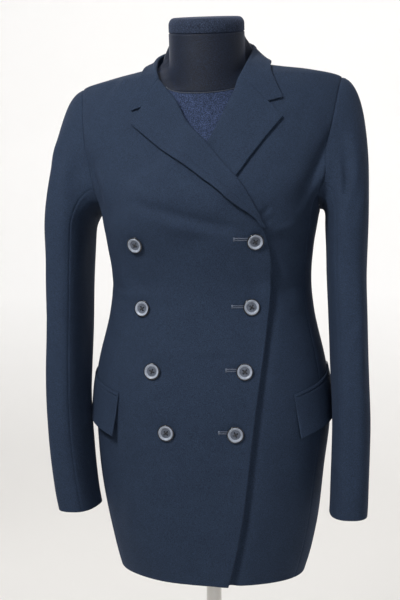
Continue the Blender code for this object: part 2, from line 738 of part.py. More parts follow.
def flap_line(columns, side):
    """Angles and heights of a pocket's mouth."""
    share = np.linspace(0, 1, columns + 1)
    first = front_angle(np.array(float(FLAP_X[side])), FLAP_FRONT_Z)
    t = first + (math.radians(FLAP_BACK_ANGLE) - first) * share
    return share, t, FLAP_FRONT_Z + (FLAP_BACK_Z - FLAP_FRONT_Z) * share


def add_pockets():
    down = np.linspace(0, 1, 5)[:, None]
    for side in (RIGHT, LEFT):
        share, t, z = flap_line(8, side)
        high = np.stack([z + 0.4, z + JET_DEPTH])
        turn = side * np.stack([t, t])
        name = f"pocket_jet_{SIDE_NAMES[side]}"
        add_wall(name, lifted_skin(turn, high, side, TOP), lifted_skin(turn, high, side, LYING))
        flap_z = z - FLAP_DEPTH * down
        flap_t = side * (t + math.radians(FLAP_RAKE) * down)
        flare = FLAP_FLARE_BACK + (FLAP_FLARE_FRONT - FLAP_FLARE_BACK) * (1 - share) ** 1.5
        out = LYING + flare * down**2
        name = f"pocket_flap_{SIDE_NAMES[side]}"
        outer = lifted_skin(flap_t, flap_z, side, out + CLOTH)
        add_wall(name, outer, lifted_skin(flap_t, flap_z, side, out))


def button_mesh():
    """One button on its shank, standing on the XY plane, with four sunken holes."""
    bm = bmesh.new()
    turns = [2 * math.pi * i / BUTTON_STEPS for i in range(BUTTON_STEPS)]
    rings = []
    for radius, height in BUTTON_OUTLINE:
        rings.append([bm.verts.new((radius * math.cos(a), radius * math.sin(a), height)) for a in turns])
    for low, high in zip(rings, rings[1:]):
        for a, b, c, d in zip(low, low[1:] + low[:1], high[1:] + high[:1], high):
            bm.faces.new((a, b, c, d))
    bm.faces.new(rings[0])
    top = BUTTON_OUTLINE[-1][1]
    border = ring_edges(bm, rings[-1])
    for quarter in range(4):
        around = math.radians(45 + 90 * quarter)
        middle = Vector((HOLE_REACH * math.cos(around), HOLE_REACH * math.sin(around), top))
        mouth, floor = [], []
        for step in range(HOLE_STEPS):
            a = 2 * math.pi * step / HOLE_STEPS
            place = middle + Vector((HOLE_RADIUS * math.cos(a), HOLE_RADIUS * math.sin(a), 0))
            mouth.append(bm.verts.new(place))
            floor.append(bm.verts.new(place - Vector((0, 0, HOLE_DEPTH))))
        for a, b, c, d in zip(mouth, mouth[1:] + mouth[:1], floor[1:] + floor[:1], floor):
            bm.faces.new((a, b, c, d))
        bm.faces.new(floor)
        border += ring_edges(bm, mouth)
    bmesh.ops.triangle_fill(bm, use_beauty=True, edges=border)
    return bm


def ring_edges(bm, ring):
    """The edges round a ring of points, made where they are missing."""
    edges = []
    for a, b in zip(ring, ring[1:] + ring[:1]):
        edges.append(bm.edges.get((a, b)) or bm.edges.new((a, b)))
    return edges


def add_buttons():
    for column in (RIGHT, LEFT):
        for number, (z, middle, reach) in enumerate(BUTTONS, 1):
            x = middle + column * reach
            t = front_angle(np.array(float(x)), z)
            name = f"button_{SIDE_NAMES[column]}_{number}"
            made = add_object(name, button_mesh(), HORN, 0.25)
            place = lifted_skin(t, np.array(float(z)), RIGHT)
            facing = Vector(lifted_skin(t, np.array(float(z)), RIGHT, 1.0) - place)
            turn = facing.to_track_quat("Z", "Y").to_matrix().to_4x4()
            made.matrix_world = Matrix.Translation(Vector(place) * MM) @ turn


def ease_at(t, z):
    """Distance from the cloth's inside to the form, more at the front than on the shoulder."""
    front, side = read(FORM_EASE, z, 1), read(FORM_EASE, z, 2)
    return side + (front - side) * ramp(np.abs(np.cos(t)), 0.3, 0.8)


def form_skin(t, z):
    """The cloth's shape less its ease, with flat ends at the arms."""
    z = np.full(t.shape, float(z))
    points = base(t, z) - normal(t, z) * (CLOTH + ease_at(t, z))[..., None]
    points[:, 0] = np.clip(points[:, 0], -ARM_PLATE, ARM_PLATE)
    return points


def neck_middle(z):
    return np.array([0, NECK_Y - NECK_LEAN * (z - GORGE), 0])


def neck_size(aside):
    """Distance from the neck's middle, in shares of its half width and depth."""
    return np.hypot(aside[:, 0] / NECK_HALF_WIDTH, aside[:, 1] / NECK_HALF_DEPTH)


def form_ring(z):
    """One row of the form, even in angle round the neck, with a corner kept at the side."""
    dense = np.linspace(0, np.pi, 361)
    aside = form_skin(dense, z) - neck_middle(z)
    around = np.arctan2(np.abs(aside[:, 0]), -aside[:, 1])
    ridge = around[len(dense) // 2]
    quarter = FORM_STEPS // 4 + 1
    wanted = np.concatenate([np.linspace(0, ridge, quarter), np.linspace(ridge, np.pi, quarter)[1:]])
    t = np.interp(wanted, around, dense)
    points = form_skin(np.concatenate([t, -t[-2:0:-1]]), z)
    aside = (points - neck_middle(z)) * [1, 1, 0]
    grown = (1 + neck_size(aside) ** -NECK_BLEND) ** (1 / NECK_BLEND)
    return neck_middle(z) + aside * grown[:, None] + points * [0, 0, 1]


def neck_ring(z, share, below):
    """A row of the neck, at the angles of the row below it."""
    aside = (below - neck_middle(z)) * [1, 1, 0]
    round_neck = aside / neck_size(aside)[:, None] * share
    return neck_middle(z) + round_neck + np.array([0, 0, float(z)])


def add_form():
    rings = [form_ring(z) for z in FORM_ROWS]
    rings[0][:, 2] = FORM_FLOOR
    rings += [neck_ring(z, share, rings[-1]) for z, share in NECK_ROWS]
    add_rings("form_torso", rings, JERSEY, 0.9)
    foot, height = NECK_TOP + SEAM, CAP_TOP - NECK_TOP - SEAM
    cap = [neck_ring(foot, 1.0, rings[-1])]
    for turn in np.radians(CAP_TURNS):
        share = 1 - CAP_ROUND + CAP_ROUND * math.cos(turn)
        rise = height * (CAP_RIM + (1 - CAP_RIM) * math.sin(turn))
        cap.append(neck_ring(foot + rise, share, rings[-1]))
    add_rings("form_neck_cap", cap, JERSEY, 0.7)


def add_stand():
    pole_foot, pole_head = SOCKET_FLOOR + SEAM, FORM_FLOOR - SEAM
    pole = ((POLE_RADIUS, pole_foot), (POLE_RADIUS, pole_head))
    turned("stand_pole", pole, 24, CHROME, 0.15, 1.0)
    hole = POLE_RADIUS + SEAM
    base_profile = (
        (BASE_RADIUS - 2, 0),
        (BASE_RADIUS, 2),
        (BASE_RADIUS, BASE_EDGE),
        (BASE_RADIUS - 4, BASE_EDGE + 1.5),
        (SOCKET_RADIUS + 6, BASE_CROWN + 3),
        (SOCKET_RADIUS, BASE_CROWN + 8),
        (SOCKET_RADIUS - 1, SOCKET_TOP),
        (hole, SOCKET_TOP),
        (hole, SOCKET_FLOOR),
    )
    turned("stand_base", base_profile, 32, CHROME, 0.2, 1.0)


def main():
    for old in list(bpy.data.objects):
        bpy.data.objects.remove(old)
    add_fronts()
    add_side_bodies()
    add_backs()
    add_sleeves()
    add_lapels()
    add_collar()
    add_pockets()
    add_buttons()
    add_form()
    add_stand()


main()
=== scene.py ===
"""The looks of a long double-breasted blazer on its limbless dress form.

Lengths in the tables are millimetres and angles are degrees, as in the solids. +X is the
viewer's right, which is the wearer's left, -Y is the front and +Z is up. The origin is the
middle of the stand's underside. Right and left in the names are the wearer's.
"""

import math

import bmesh
import bpy
import numpy as np
from mathutils import Matrix, Vector


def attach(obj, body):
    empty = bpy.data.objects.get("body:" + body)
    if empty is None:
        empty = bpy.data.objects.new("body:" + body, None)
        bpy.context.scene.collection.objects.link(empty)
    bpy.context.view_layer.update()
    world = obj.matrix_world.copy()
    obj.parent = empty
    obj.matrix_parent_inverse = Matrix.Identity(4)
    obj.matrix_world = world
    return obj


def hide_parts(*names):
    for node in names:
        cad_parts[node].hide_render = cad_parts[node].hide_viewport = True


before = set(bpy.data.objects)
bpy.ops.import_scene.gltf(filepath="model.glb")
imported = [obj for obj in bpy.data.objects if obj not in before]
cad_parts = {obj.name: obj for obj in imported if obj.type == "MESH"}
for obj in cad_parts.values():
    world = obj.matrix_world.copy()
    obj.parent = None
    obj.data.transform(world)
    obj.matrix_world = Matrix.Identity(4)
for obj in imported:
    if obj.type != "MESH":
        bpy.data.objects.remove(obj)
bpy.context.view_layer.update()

MM = 0.001
TURN = 6.28  # a wave's full turn
BODY_NAME = "root"
CLOTH = 2.0  # the solids' wall
SHOWN_CLOTH = 1.7  # wool, canvas and lining, as the shells show them
SEAM = 0.3
SEAM_CLEAR = SEAM + 0.05
LYING = 0.8  # air under what lies on a panel
TOP = LYING + CLOTH
OVERLAP_GAP = 1.2
RIGHT, LEFT = -1, 1
SIDE_NAMES = {RIGHT: "right", LEFT: "left"}

# The photograph's camera: how far off the pole's axis, how high, and turned which way.
CAMERA_AZIMUTH, CAMERA_DISTANCE, CAMERA_HEIGHT = 9.0, 1300.0, 1100.0
CAMERA_ASIDE, CAMERA_ROLL = 17.7, -0.45
CAMERA_LENS, CAMERA_SENSOR = 52.02, 36.0

# Horizontal sections of the buttoned jacket: height, half width, depth to the front and to
# the back, and the power of the rounded outline. Above the underarm the sides are cut away
# by the armholes, and the half width from 1424 up is the slope of the shoulder seams.
BODY = (
    (700, 134, 108, 98, 2.2),
    (755, 150, 114, 106, 2.3),
    (835, 163, 121, 118, 2.4),
    (900, 171, 124, 124, 2.4),
    (950, 175, 125, 125, 2.4),
    (998, 172, 121, 118, 2.4),
    (1050, 160, 113, 98, 2.3),
    (1118, 147, 108, 78, 2.2),
    (1150, 147, 115, 80, 2.3),
    (1200, 156, 129, 90, 2.6),
    (1235, 163, 130, 96, 2.6),
    (1260, 177, 124, 98, 2.6),
    (1290, 193, 112, 99, 2.5),
    (1320, 205, 102, 97, 2.4),
    (1360, 212, 89, 90, 2.2),
    (1400, 208, 74, 78, 1.9),
    (1424, 195, 61, 66, 1.7),
    (1436, 155, 52, 60, 1.6),
    (1443, 115, 46, 56, 1.6),
    (1447.5, 90, 42, 53, 1.6),
    (1459, 66, 37, 45, 1.7),
    (1466, 60, 34, 42, 1.8),
)

# Waist and hip turn softly: this share of a section is the mean of those a little below and
# above it, which fades in over the hem and out under the chest.
SOFTEN, SOFTEN_SHARE = 30, 0.6
SOFTEN_FROM, SOFTEN_UP_TO = (708, 768), (1180, 1225)

# Seams of the side bodies: height, angle from centre front of the front and the back seam.
SIDE_SEAMS = (
    (700, 62, 118),
    (950, 63, 118),
    (1118, 66, 113),
    (1245, 66, 116),
)

# Armhole above the side body: height, then how far out the front and the back edge lie.
ARMHOLE = (
    (1245, 161, 159),
    (1262, 165, 164),
    (1285, 170, 170),
    (1311, 175, 175),
    (1335, 179, 180),
    (1360, 183, 184.5),
    (1382, 187, 188),
    (1400, 190, 191),
    (1416, 193, 193.5),
    (1424, 195, 195),
)
UNDERARM, TIP, NECK_POINT = 1245, 1424, 1447
UNDERARM_DIP = 13

# Front edge, roll line from the break at 1193 to the gorge at 1416, then neck seam:
# height and x, counted towards the wearer's left on the right front and mirrored on the left.
BREAK, GORGE = 1193, 1416
EDGE_BELOW = (
    (700, 33), (754, 47), (812, 58), (871, 66), (927, 73), (983, 80), (1040, 87), (1100, 92),
    (1150, 94), (1180, 91.5), (BREAK, 89), (1207, 82.6),
)
EDGE = {
    RIGHT: (
        *EDGE_BELOW, (1226, 72.9), (1254, 55.9), (1280, 33.5), (1311, 9), (1345, -21),
        (1383, -41.5), (1403, -58), (GORGE, -68), (1424, -76), (1432, -82), (1440, -87),
        (NECK_POINT, -90),
    ),
    LEFT: (
        *EDGE_BELOW, (1226, 72), (1254, 52), (1280, 25), (1311, -9), (1333, -22),
        (1371, -38.7), (1393, -48), (GORGE, -54), (1435, -70), (NECK_POINT, -88),
    ),
}

# Outer edge of each turned-back lapel, from just above the break to its tip: x and height,
# with x counted outwards from centre front on the lapel's own side.
LAPEL_EDGE = {
    RIGHT: ((-82, 1201), (-76, 1209), (-50.5, 1227.5), (-15, 1254.5), (41, 1297), (100, 1348)),
    LEFT: (
        (-82, 1199), (-78, 1201), (-40, 1213), (10, 1236), (48.9, 1264), (68.7, 1293),
        (92.5, 1326), (113, 1352),
    ),
}
LAPEL_START = 1197
NOTCH = {RIGHT: (87, 1375), LEFT: (92, 1376)}
COLLAR_TIP = {RIGHT: (103, 1370), LEFT: (113, 1382)}

# Fold of the collar, as the middle of its roll: share of the way from gorge to centre back,
# x outwards, y and height. The right side gapes from the neck and the left side hugs it.
COLLAR_ROLL = {
    RIGHT: (
        (0.1, 72, -51, 1428), (0.2, 75.5, -38, 1440), (0.4, 80, -4, 1461), (0.7, 58, 33, 1484),
        (1, 0, 52, 1497),
    ),
    LEFT: ((0.2, 61, -46, 1438), (0.4, 68, -8, 1468), (0.7, 51, 30, 1489), (1, 0, 52, 1497)),
}
# Outer edge of the collar on the shoulders: share, x outwards and height.
COLLAR_BACK = ((0.7, 64, 1446), (0.85, 35, 1446.4), (1, 0, 1448))
COLLAR_EDGE = {
    RIGHT: ((0.14, 97.5, 1402.5), (0.27, 94.5, 1427), (0.4, 92.5, 1446.7), (0.55, 84, 1446.5)),
    LEFT: ((0.14, 103.5, 1403.5), (0.27, 95, 1425), (0.4, 91.5, 1446.9), (0.55, 83, 1446.7)),
}
COLLAR_SHOULDER = 0.4  # share at which the collar passes the shoulder seam
SHOULDER_RAISE, SHOULDER_REACH = 1.6, 0.17  # its edge is eased over the seam's ridge

# Sleeve sections: height, x outwards and y of the middle, half width and half depth, and how
# far both sleeves swing towards the wearer's left there.
SLEEVE = (
    (1205, 206.5, -14, 30, 64, -6.5),
    (1150, 205.3, -21, 28, 61.5, -6.5),
    (1080, 204, -36, 26.5, 59.5, -4),
    (1010, 203.5, -52, 26, 56.5, -1.8),
    (950, 202.3, -63, 25.5, 53, 0.6),
    (880, 199, -68, 25.5, 50, 3),
    (830, 194.5, -70, 25.5, 47.5, 5.6),
    (804, 191, -71, 25.5, 46, 7.2),
)
SLEEVE_YAW = 4  # the front of each sleeve turns outwards
SLEEVE_POWER = 2.6
CAP_TURN, CAP_OUT = 0.4, 0.9  # a cap leaves its seam partly off the cloth, partly sideways
CAP_SWELL, CAP_SWELL_MAX, CAP_SWELL_SHARE = 0.3, 18, 0.1
CAP_FALL = 0.38

# Broad folds: which face, x and height of both ends, how far the middle bows aside, height above
# the cloth and half width.
FOLDS = (
    ("front", 180, 1338, 131, 1218, 0, -4.0, 12),
    ("front", 192, 1320, 150, 1215, 0, 3.0, 12),
    ("front", -174, 1325, -138, 1228, 0, -3.0, 13),
    ("front", -60, 1228, 80, 1190, 0, -1.6, 12),
    ("front", -130, 1135, -30, 1110, 0, -1.6, 14),
    ("front", 130, 1140, 60, 1112, 0, -1.6, 14),
    ("back", 130, 1150, 40, 1118, 0, -2.5, 14),
    ("back", -135, 1132, -30, 1108, 0, -2.2, 13),
    ("back", 165, 1330, 120, 1220, 0, -3.0, 14),
    ("back", -168, 1325, -118, 1205, 0, -3.0, 14),
)

# Buttons: x and height of each, from the top one down.
BUTTONS = {
    RIGHT: ((-87.5, 1178.5), (-82.2, 1088.4), (-65.7, 1001.8), (-45.6, 919.4)),
    LEFT: ((75.6, 1179.5), (68.8, 1089.3), (60.8, 1001.8), (48.4, 918.4)),
}

# Flap: front corner and slope of its top edge, depth, and how far its foot stands off.
FLAP_X = {RIGHT: 116, LEFT: 126}
FLAP_FRONT_Z, FLAP_BACK_Z, FLAP_BACK_ANGLE = 965, 1007, 97
FLAP_DEPTH, FLAP_RAKE, FLAP_FLARE_FRONT, FLAP_FLARE_BACK = 54, 2.4, 8.5, 4.0
JET_FOOT, JET_DEPTH = 0.4, 5
JET_TAPER, JET_TAPER_FROM = 0.75, (0.9, 1)  # shares of its height and of its length
POCKET_CLOSE, POCKET_CLOSE_FROM = 0.8, (0.6, 0.85)  # how much closer both lie at the back end

# The form: height, then how far its skin lies inside the cloth at the front and at the sides.
FORM_EASE = (
    (780, 16, 12), (950, 10, 8), (1118, 8, 8), (1235, 9, 9), (1320, 8, 9), (1400, 6, 1.3),
    (1466, 5, 1.3),
)
FORM_FLOOR = 782  # its flat underside
# Heights between which the seam crosses the form, and the steps between the rows below it,
# across it, above it and up the neck.
FORM_BEND, FORM_ROW, FORM_SEAM_ROW, FORM_NECK_ROW, NECK_ROW = (1370, 1420), 7.0, 1.1, 2.5, 1.6
FORM_STEPS = 128
ARM_PLATE = 172  # the flat ends of the form's shoulders
NECK_FOOT = 1453.5  # above this height the form is all neck
NECK_HALF_WIDTH, NECK_HALF_DEPTH, NECK_Y, NECK_LEAN = 55.5, 56, -25, 0.12
NECK_TOP, CAP_TOP = 1474, 1495  # the neck's top is where its last row is
NECK_BLEND = 9
# The neck's top slopes: how steeply to the front and to the side, how far it rises at the middle
# and the height from which it does.
TOP_LEAN, TOP_LEAN_SIDE, TOP_LEAN_RISE, TOP_LEAN_FROM = 0.35, 0.03, 18, 1428
TOP_LEAN_REACH = 62, 85  # distances from the neck's middle over which it fades

# Rings of the neck's rounded rim and of the cap's foot: height off the joint, share of its width.
RIM_ROWS = ((1.2, 1.0), (0.4, 0.992), (0, 0.975))
CAP_FOOT_ROWS = ((0, 0.975), (0.5, 0.992), (1.2, 1.0))

# The form's underside is drawn in: share of its foot's width and height above its floor.
UNDER_ROWS = ((0.3, 0), (0.965, 0), (0.985, 0.5), (0.996, 1.8))

# Turned outline of the stand's base, radius and height, from its foot over its edge and crown,
# up the socket and down inside it, where the pole stands.
BASE_OUTLINE = (
    (148, 0), (149.4, 0.5), (150, 1.6), (150, 5.2), (149.2, 6.4), (147, 7.2), (120, 8.1),
    (90, 9.3), (60, 10.6), (34, 11.8), (25, 12.6), (19.5, 14.2), (17.6, 17.0), (17, 20),
    (17, 30), (16.6, 31.5), (15.6, 32), (12.2, 32), (11.7, 31.4), (11.5, 10.6),
)
BASE_TURNS = 128

# Rows of the solids round the armhole, which the sleeves' seams are counted in.
ARMHOLE_ROWS = (UNDERARM, 1262, 1285, 1311, 1335, 1360, 1382, 1400, GORGE, TIP)
SIDE_COLUMNS = 6
HEM, HEM_TILT = 708, 3
NECK_RISE = 12

# Creases of the panels, sharper than the broad folds, with the same columns. Troughs are below
# zero and ridges above it.
CREASES = (
    ("front", -104, 1241, 72, 1192, 6, -4.4, 8.0),
    ("front", -96, 1224, 44, 1185, 4, 2.2, 9),
    ("front", 99, 1228, 82, 1208, 0, -2.8, 3.4),
    ("front", 102, 1214, 86, 1196, 1, -2.8, 3.4),
    ("front", 112, 1202, 89, 1185, 1, -1.5, 4.0),
    ("front", 142, 1210, 92, 1193, -3, 2.2, 5.5),
    ("front", 91, 1188, 136, 1186, 4, -2.4, 6),
    ("front", 184, 1348, 135, 1220, -4, -6.0, 6.0),
    ("front", 181, 1318, 132, 1210, -4, 5.2, 5.5),
    ("front", 172, 1276, 127, 1186, -4, -4.2, 8),
    ("front", 150, 1222, 134, 1166, -3, -1.8, 8),
    ("front", 104, 1156, 138, 1112, 2, 1.6, 8),
    ("front", 92, 1140, 124, 1098, 2, -1.3, 8),
    ("front", -168, 1304, -133, 1226, -4, 2.8, 6.5),
    ("front", -178, 1318, -146, 1236, -4, -2.6, 7),
    ("front", -160, 1296, -132, 1222, -4, 1.5, 9),
    ("front", -89, 1338, -88, 1250, 2, -1.3, 6),
    ("front", -126, 1434, -150, 1396, 3, -1.2, 6),
    ("front", -116, 1436, -128, 1404, 2, 0.9, 6),
    ("front", 128, 1428, 150, 1400, -3, -0.9, 7),
    ("front", 150, 1396, 132, 1300, 3, -1.0, 9),
    ("front", -148, 1128, -96, 1112, 2, -1.9, 6),
    ("front", -146, 1108, -100, 1098, 1, -1.4, 6),
    ("front", -111, 1180, -110, 1080, 3, 1.3, 7),
    ("front", 146, 1126, 104, 1108, -2, -1.5, 7),
    ("front", 143, 1096, 108, 1084, -2, 1.0, 7),
    ("front", -20, 1016, 56, 1019, -2, -1.1, 5),
    ("front", -60, 1050, 10, 1040, 3, -0.7, 7),
    ("front", -24, 700, 8, 776, 4, -1.0, 6),
    ("front", 22, 700, 38, 764, 3, 0.9, 6),
    ("front", -110, 880, -124, 760, 3, -1.4, 12),
    ("front", 112, 890, 120, 770, -3, -1.4, 12),
    ("front", -70, 1086, -10, 1100, 3, -0.9, 9),
    ("back", 20, 1126, 110, 1146, 3, -3.0, 8),
    ("back", -22, 1124, -118, 1140, -3, -2.8, 9),
    ("back", 14, 1100, 84, 1108, 2, 2.2, 9),
    ("back", -18, 1102, -90, 1112, -2, 2.0, 8),
    ("back", 172, 1330, 124, 1226, -6, -3.6, 8),
    ("back", 160, 1300, 112, 1240, -4, 2.6, 8),
    ("back", -170, 1322, -122, 1216, 5, -3.8, 8),
    ("back", -158, 1290, -108, 1236, 4, 2.4, 9),
    ("back", 60, 1420, 84, 1380, 2, -1.5, 8),
    ("back", -66, 1418, -88, 1376, 2, -1.6, 8),
    ("back", 96, 900, 112, 750, 4, -2.2, 13),
    ("back", -92, 890, -106, 756, -4, -2.1, 13),
)

# Creases of the sleeves: side, turn from the outer side towards the front and height of both
# ends, height above the cloth and half width along the turn, in degrees.
SLEEVE_CREASES = (
    (LEFT, 62, 1352, 104, 1232, -3.9, 10),
    (LEFT, 78, 1330, 122, 1228, 2.4, 9),
    (LEFT, 40, 1300, 92, 1196, -2.2, 12),
    (LEFT, 64, 1080, 118, 1040, -2.0, 11),
    (LEFT, 70, 1050, 112, 1020, 1.4, 9),
    (LEFT, 58, 1180, 74, 880, 1.5, 14),
    (LEFT, -58, 1340, -100, 1230, -3.0, 12),
    (LEFT, -70, 1120, -112, 1060, -2.1, 12),
    (LEFT, 96, 980, 80, 850, -1.4, 13),
    (LEFT, -10, 1128, -70, 1092, -1.8, 11),
    (RIGHT, 48, 1368, 88, 1230, -3.4, 11),
    (RIGHT, 66, 1340, 112, 1236, 2.1, 10),
    (RIGHT, 24, 1346, 52, 1290, 2.0, 8),
    (RIGHT, 70, 1240, 66, 860, 2.7, 16),
    (RIGHT, 42, 1200, 40, 900, -2.0, 15),
    (RIGHT, 60, 1084, 116, 1050, -1.8, 12),
    (RIGHT, 84, 1052, 126, 1016, -1.7, 11),
    (RIGHT, -60, 1330, -104, 1226, -2.8, 13),
    (RIGHT, -66, 1110, -110, 1052, -2.2, 12),
    (RIGHT, -14, 1118, -72, 1090, -1.7, 11),
)

# Where the right front rises over what lies beneath it: distance from the left front's edge, for
# that front and for its lapel, depth below the lapel's edge and height from which it counts.
OVER_FRONT, OVER_LAPEL = (-75, -10), (-70, -16)
BELOW_LAPEL, LAPEL_COUNTS = (-55, -10), (1140, 1188)

# How far the edge of the right front stands off the left one, at the waist and below, and how
# the left one sinks beside it. It starts and is full at the first two heights, and grows from
# low to waist between the other two.
EDGE_GAPE, EDGE_GAPE_WIDTH, EDGE_GAPE_LOW = 4.8, 15, 2.6
EDGE_DIP, EDGE_DIP_AWAY, EDGE_DIP_WIDTH = 3.0, 5, 6.5
EDGE_GAPE_HEIGHTS = (1188, 1150), (1050, 1120)

FOLD_FADE, CREASE_FADE = 1.2, 0.9  # folds fade to their ends from further off than creases

# Gentle unevenness of laid canvas and steam: wave lengths in x and height, shift and height.
WAVES = ((236, 171, 0.4, 0.55), (-131, 228, 1.9, 0.4), (92, 118, 4.1, 0.16))
# The same on the sleeves: waves round them, wave length down them, shift by side and height.
SLEEVE_WAVES = ((3, 190, 1, 0.35), (5, -131, 0, 0.2))

# Edges of the shells: stitched ones sink into their seam, free ones are folded over and round.
SINK, SINK_WIDTH = 0.5, 1.4
EDGE_STRIP = 5.0
EDGE_PLACES = (0, 0.07, 0.18, 0.36, 0.62)
PANEL_STEP, FRONT_STEP, FLAP_STEP, JET_STEP = 4.8, 3.6, 4.0, 1.2
# Rows of a panel below the underarm, beside the armhole and on the shoulder's slope, which
# starts this far below the tip.
PANEL_ROWS, SHOULDER_SLOPE = (190, 70, 46), 11
FRONT_COLUMNS, SIDE_BODY_COLUMNS, BACK_COLUMNS = 110, 24, 60
FLAP_ROWS, FLAP_COLUMNS, JET_ROWS = 16, 24, 5
SLEEVE_CAP_ROWS, SLEEVE_ROW = 34, 8
HEM_BLEND = 60  # the rows above the hem that share its tilt
UNDERARM_START = 1212  # the rows above it sink under the arm
FINE = 4  # stations round the armhole for each one of the solids
FRONT_SLEEVE_SEAM, BACK_SLEEVE_SEAM = 8, 19  # stations round the armhole from the shoulder tip
SLEEVE_GAP = 0.2
CUFF, CUFF_FLAT = SLEEVE[-1][0], 25  # the pressed cuff keeps its creases off
SLEEVE_SETTLE = 8  # rows below the armhole over which its creases grow
BUTTON_PULL, BUTTON_PULL_WIDTH = 0.9, 15

# Lapels and collar: lines along them, the way between their points, how far a lapel crowns and
# its edge stands off, and the seam allowance that presses through along the edges.
LAPEL_LINES = 70
LAPEL_STEP = 3.2
LAPEL_CROWN, LAPEL_RISE = 0.7, 0.4  # it also lies a little looser than the other pieces
LAPEL_GAPE = {RIGHT: (4.4, 2.4), LEFT: (0.9, 0.4)}  # near the break and near the tip
GAPE_TURNS, GAPE_FULL = (0.1, 0.7), 0.14  # shares of the way up: from one to the other, and full
PRESSED, ALLOWANCE, ALLOWANCE_STEP = 0.45, 10.5, 1.6
PRESSED_LESS = PRESSED * 0.8  # on the collar, and how deep the lapel dips beside its allowance
COLLAR_ALLOWANCE = 8.5
FLAP_PRESSED, FLAP_ALLOWANCE, FLAP_BOW = 0.3, 7, 0.8

# Turned outline of a button's body, radius and height, from the back over the rim, the light
# ring and down into the dish.
BUTTON_BODY = (
    (9.4, 1.4), (10.9, 1.7), (11.5, 2.3), (11.7, 3.0), (11.5, 3.5), (11.1, 3.75), (10.6, 3.7),
    (10.3, 3.5), (10.15, 3.9), (9.9, 4.3), (9.6, 4.5), (9.2, 4.45), (8.4, 4.1), (7.6, 3.65),
    (7.15, 3.3), (6.95, 3.0), (6.6, 2.9), (5.6, 2.85),
)
BUTTON_RINGS = ((10.2, "rim"), (7.05, "ring"), (0, "dish"))  # where each finish ends inwards
BUTTON_TURNS = 64
BUTTON_BACK = 2.0  # below this height all is rim
HOLE_RADIUS, HOLE_REACH, HOLE_ENDS = 1.25, 3.0, (0.5, 6)
SHANK, SHANK_RADIUS = (-0.6, 1.8), 2.0  # the wound thread under it: its ends and its radius
# Thread of the cross: its radius, how many radii apart its strands lie, how far they sink into
# the holes and rise over the dish, and how far one pair lies over the other.
THREAD, THREAD_APART, THREAD_SUNK, THREAD_UP, THREAD_OVER = 0.26, 2.1, 0.7, 0.35, 0.45
BUTTON_RAISE = 0.9  # as each hangs on its thread

# Buttonholes of the front that lies on top: x and height of the end at the bar tack.
BUTTONHOLES = ((49.3, 1182.0), (44.4, 1090.1), (37.2, 1003.8), (27.4, 920.3))
BUTTONHOLE_LENGTH, LIP_STITCHES, TACK_STITCHES = 22, 40, 4
# One stitch of a lip and of the bar tack: distance from the slit and height off the cloth.
LIP_STITCH, LIP_THREAD = ((0.75, -0.1), (1.0, 0.35), (1.5, 0.35), (1.8, -0.1)), 0.27
TACK_STITCH, TACK_THREAD = ((-2.3, 0.0), (-1.8, 0.75), (0, 1.05), (1.8, 0.75), (2.3, 0.0)), 0.36
LIP_LEAN, TACK_AWAY, TACK_STEP = 0.1, 0.3, 0.45

# The seam that sets the form's neck on: its height at centre front, how far it has risen at
# SEAM_LINE_SPAN aside, its height at the back, its groove and the cord that lies in it.
SEAM_LINE, SEAM_LINE_RISE, SEAM_LINE_SPAN, SEAM_LINE_BACK = 1392, 20, 75, 1440
SEAM_GROOVE, SEAM_GROOVE_WIDTH, SEAM_GROOVE_REACH = 0.9, 1.7, 120
SEAM_CORD, SEAM_CORD_REACH = 0.5, 68
CAP_RIM, CAP_ROUND = 0.5, 0.15  # share of the cap's height that is upright, and of its width

# How each button leans, towards +X and down, and how far it is turned, from the top one down.
BUTTON_LEANS = {
    RIGHT: ((0.08, 0.16, 8), (0.10, 0.13, -14), (0.06, 0.15, 20), (0.03, 0.14, -5)),
    LEFT: ((-0.06, 0.17, -9), (-0.03, 0.15, 12), (-0.04, 0.16, 4), (0.02, 0.14, -18)),
}

# Sizes of the patterns: grains and cloudy patches of the crepe and its slanted yarns, counted
# along the weft and drawn coarser than real ones so that they show, then grains of the jersey,
# marks of the chrome's polishing, clouds in the buttons and turns of the thread's twist.
CREPE_GRAIN, CREPE_PATCH, YARN_SPACING = 0.9, 26, 2.2
JERSEY_GRAIN, POLISH_MARK, CLOUD, TWIST = 1.3, 60, 5, 0.5
BANDS_APART = 0.628  # way along an axis between a wave texture's diagonal bands at scale 1

# Colours.
# The wool's two tones: darker between the yarns as painted shade, paler and bluer on them as
# painted highlight.
WOOL = "#1d2634", "#2b394e"  # between the yarns, and on them
BUTTON_COLOURS = ("#101217", "#858c98", "#4a505b")
WALL_HEIGHTS = 0, 3400
WALL_COLOURS = ("#e4e2df", "#fbfaf9", "#fbfaf9", "#f1f0ef")

# The room in metres: a round bowl with its floor, bend and wall, its floor just under the part.
ROOM_RADIUS, ROOM_HEIGHT, ROOM_BEND = 5.7, 6.0, 2.6
ROOM_FLOOR = -0.2
WORLD_STRENGTH = 0.1

# Lights: name, place, aim, size, power in watts and colour.
LIGHTS = (
    ("Key softbox", (-0.78, -1.4, 2.45), (0, 0, 1.2), (0.5, 0.5), 41, "#ffffff"),
    ("Fill softbox", (0.8, -2.3, 1.5), (0, 0, 1.1), (0.8, 0.8), 11, "#f2f5ff"),
    ("Top softbox", (0.0, -0.5, 3.6), (0, 0, 1.0), (1.4, 1.4), 4, "#ffffff"),
    ("Back softbox", (-1.6, 2.2, 2.6), (0, 0, 1.1), (1.6, 1.6), 14, "#ffffff"),
    ("Wall wash", (0, 2.2, 5.2), (0, 5.2, 1.0), (5.0, 1.0), 168, "#ffffff"),
)

# Radii of a lapel's outside round the edge: off the edge, out of the cloth.
WRAP_OUTER, WRAP_RAISE = (3.8, 2.3), 0.8
ROLL_TURNS = np.radians(np.linspace(120, 0, 9))
COLLAR_RADIUS = 3.4
FOLD_TURN, FOLD_TURN_MORE = 120, 60  # the collar's fold at the gorge, and what it gains behind
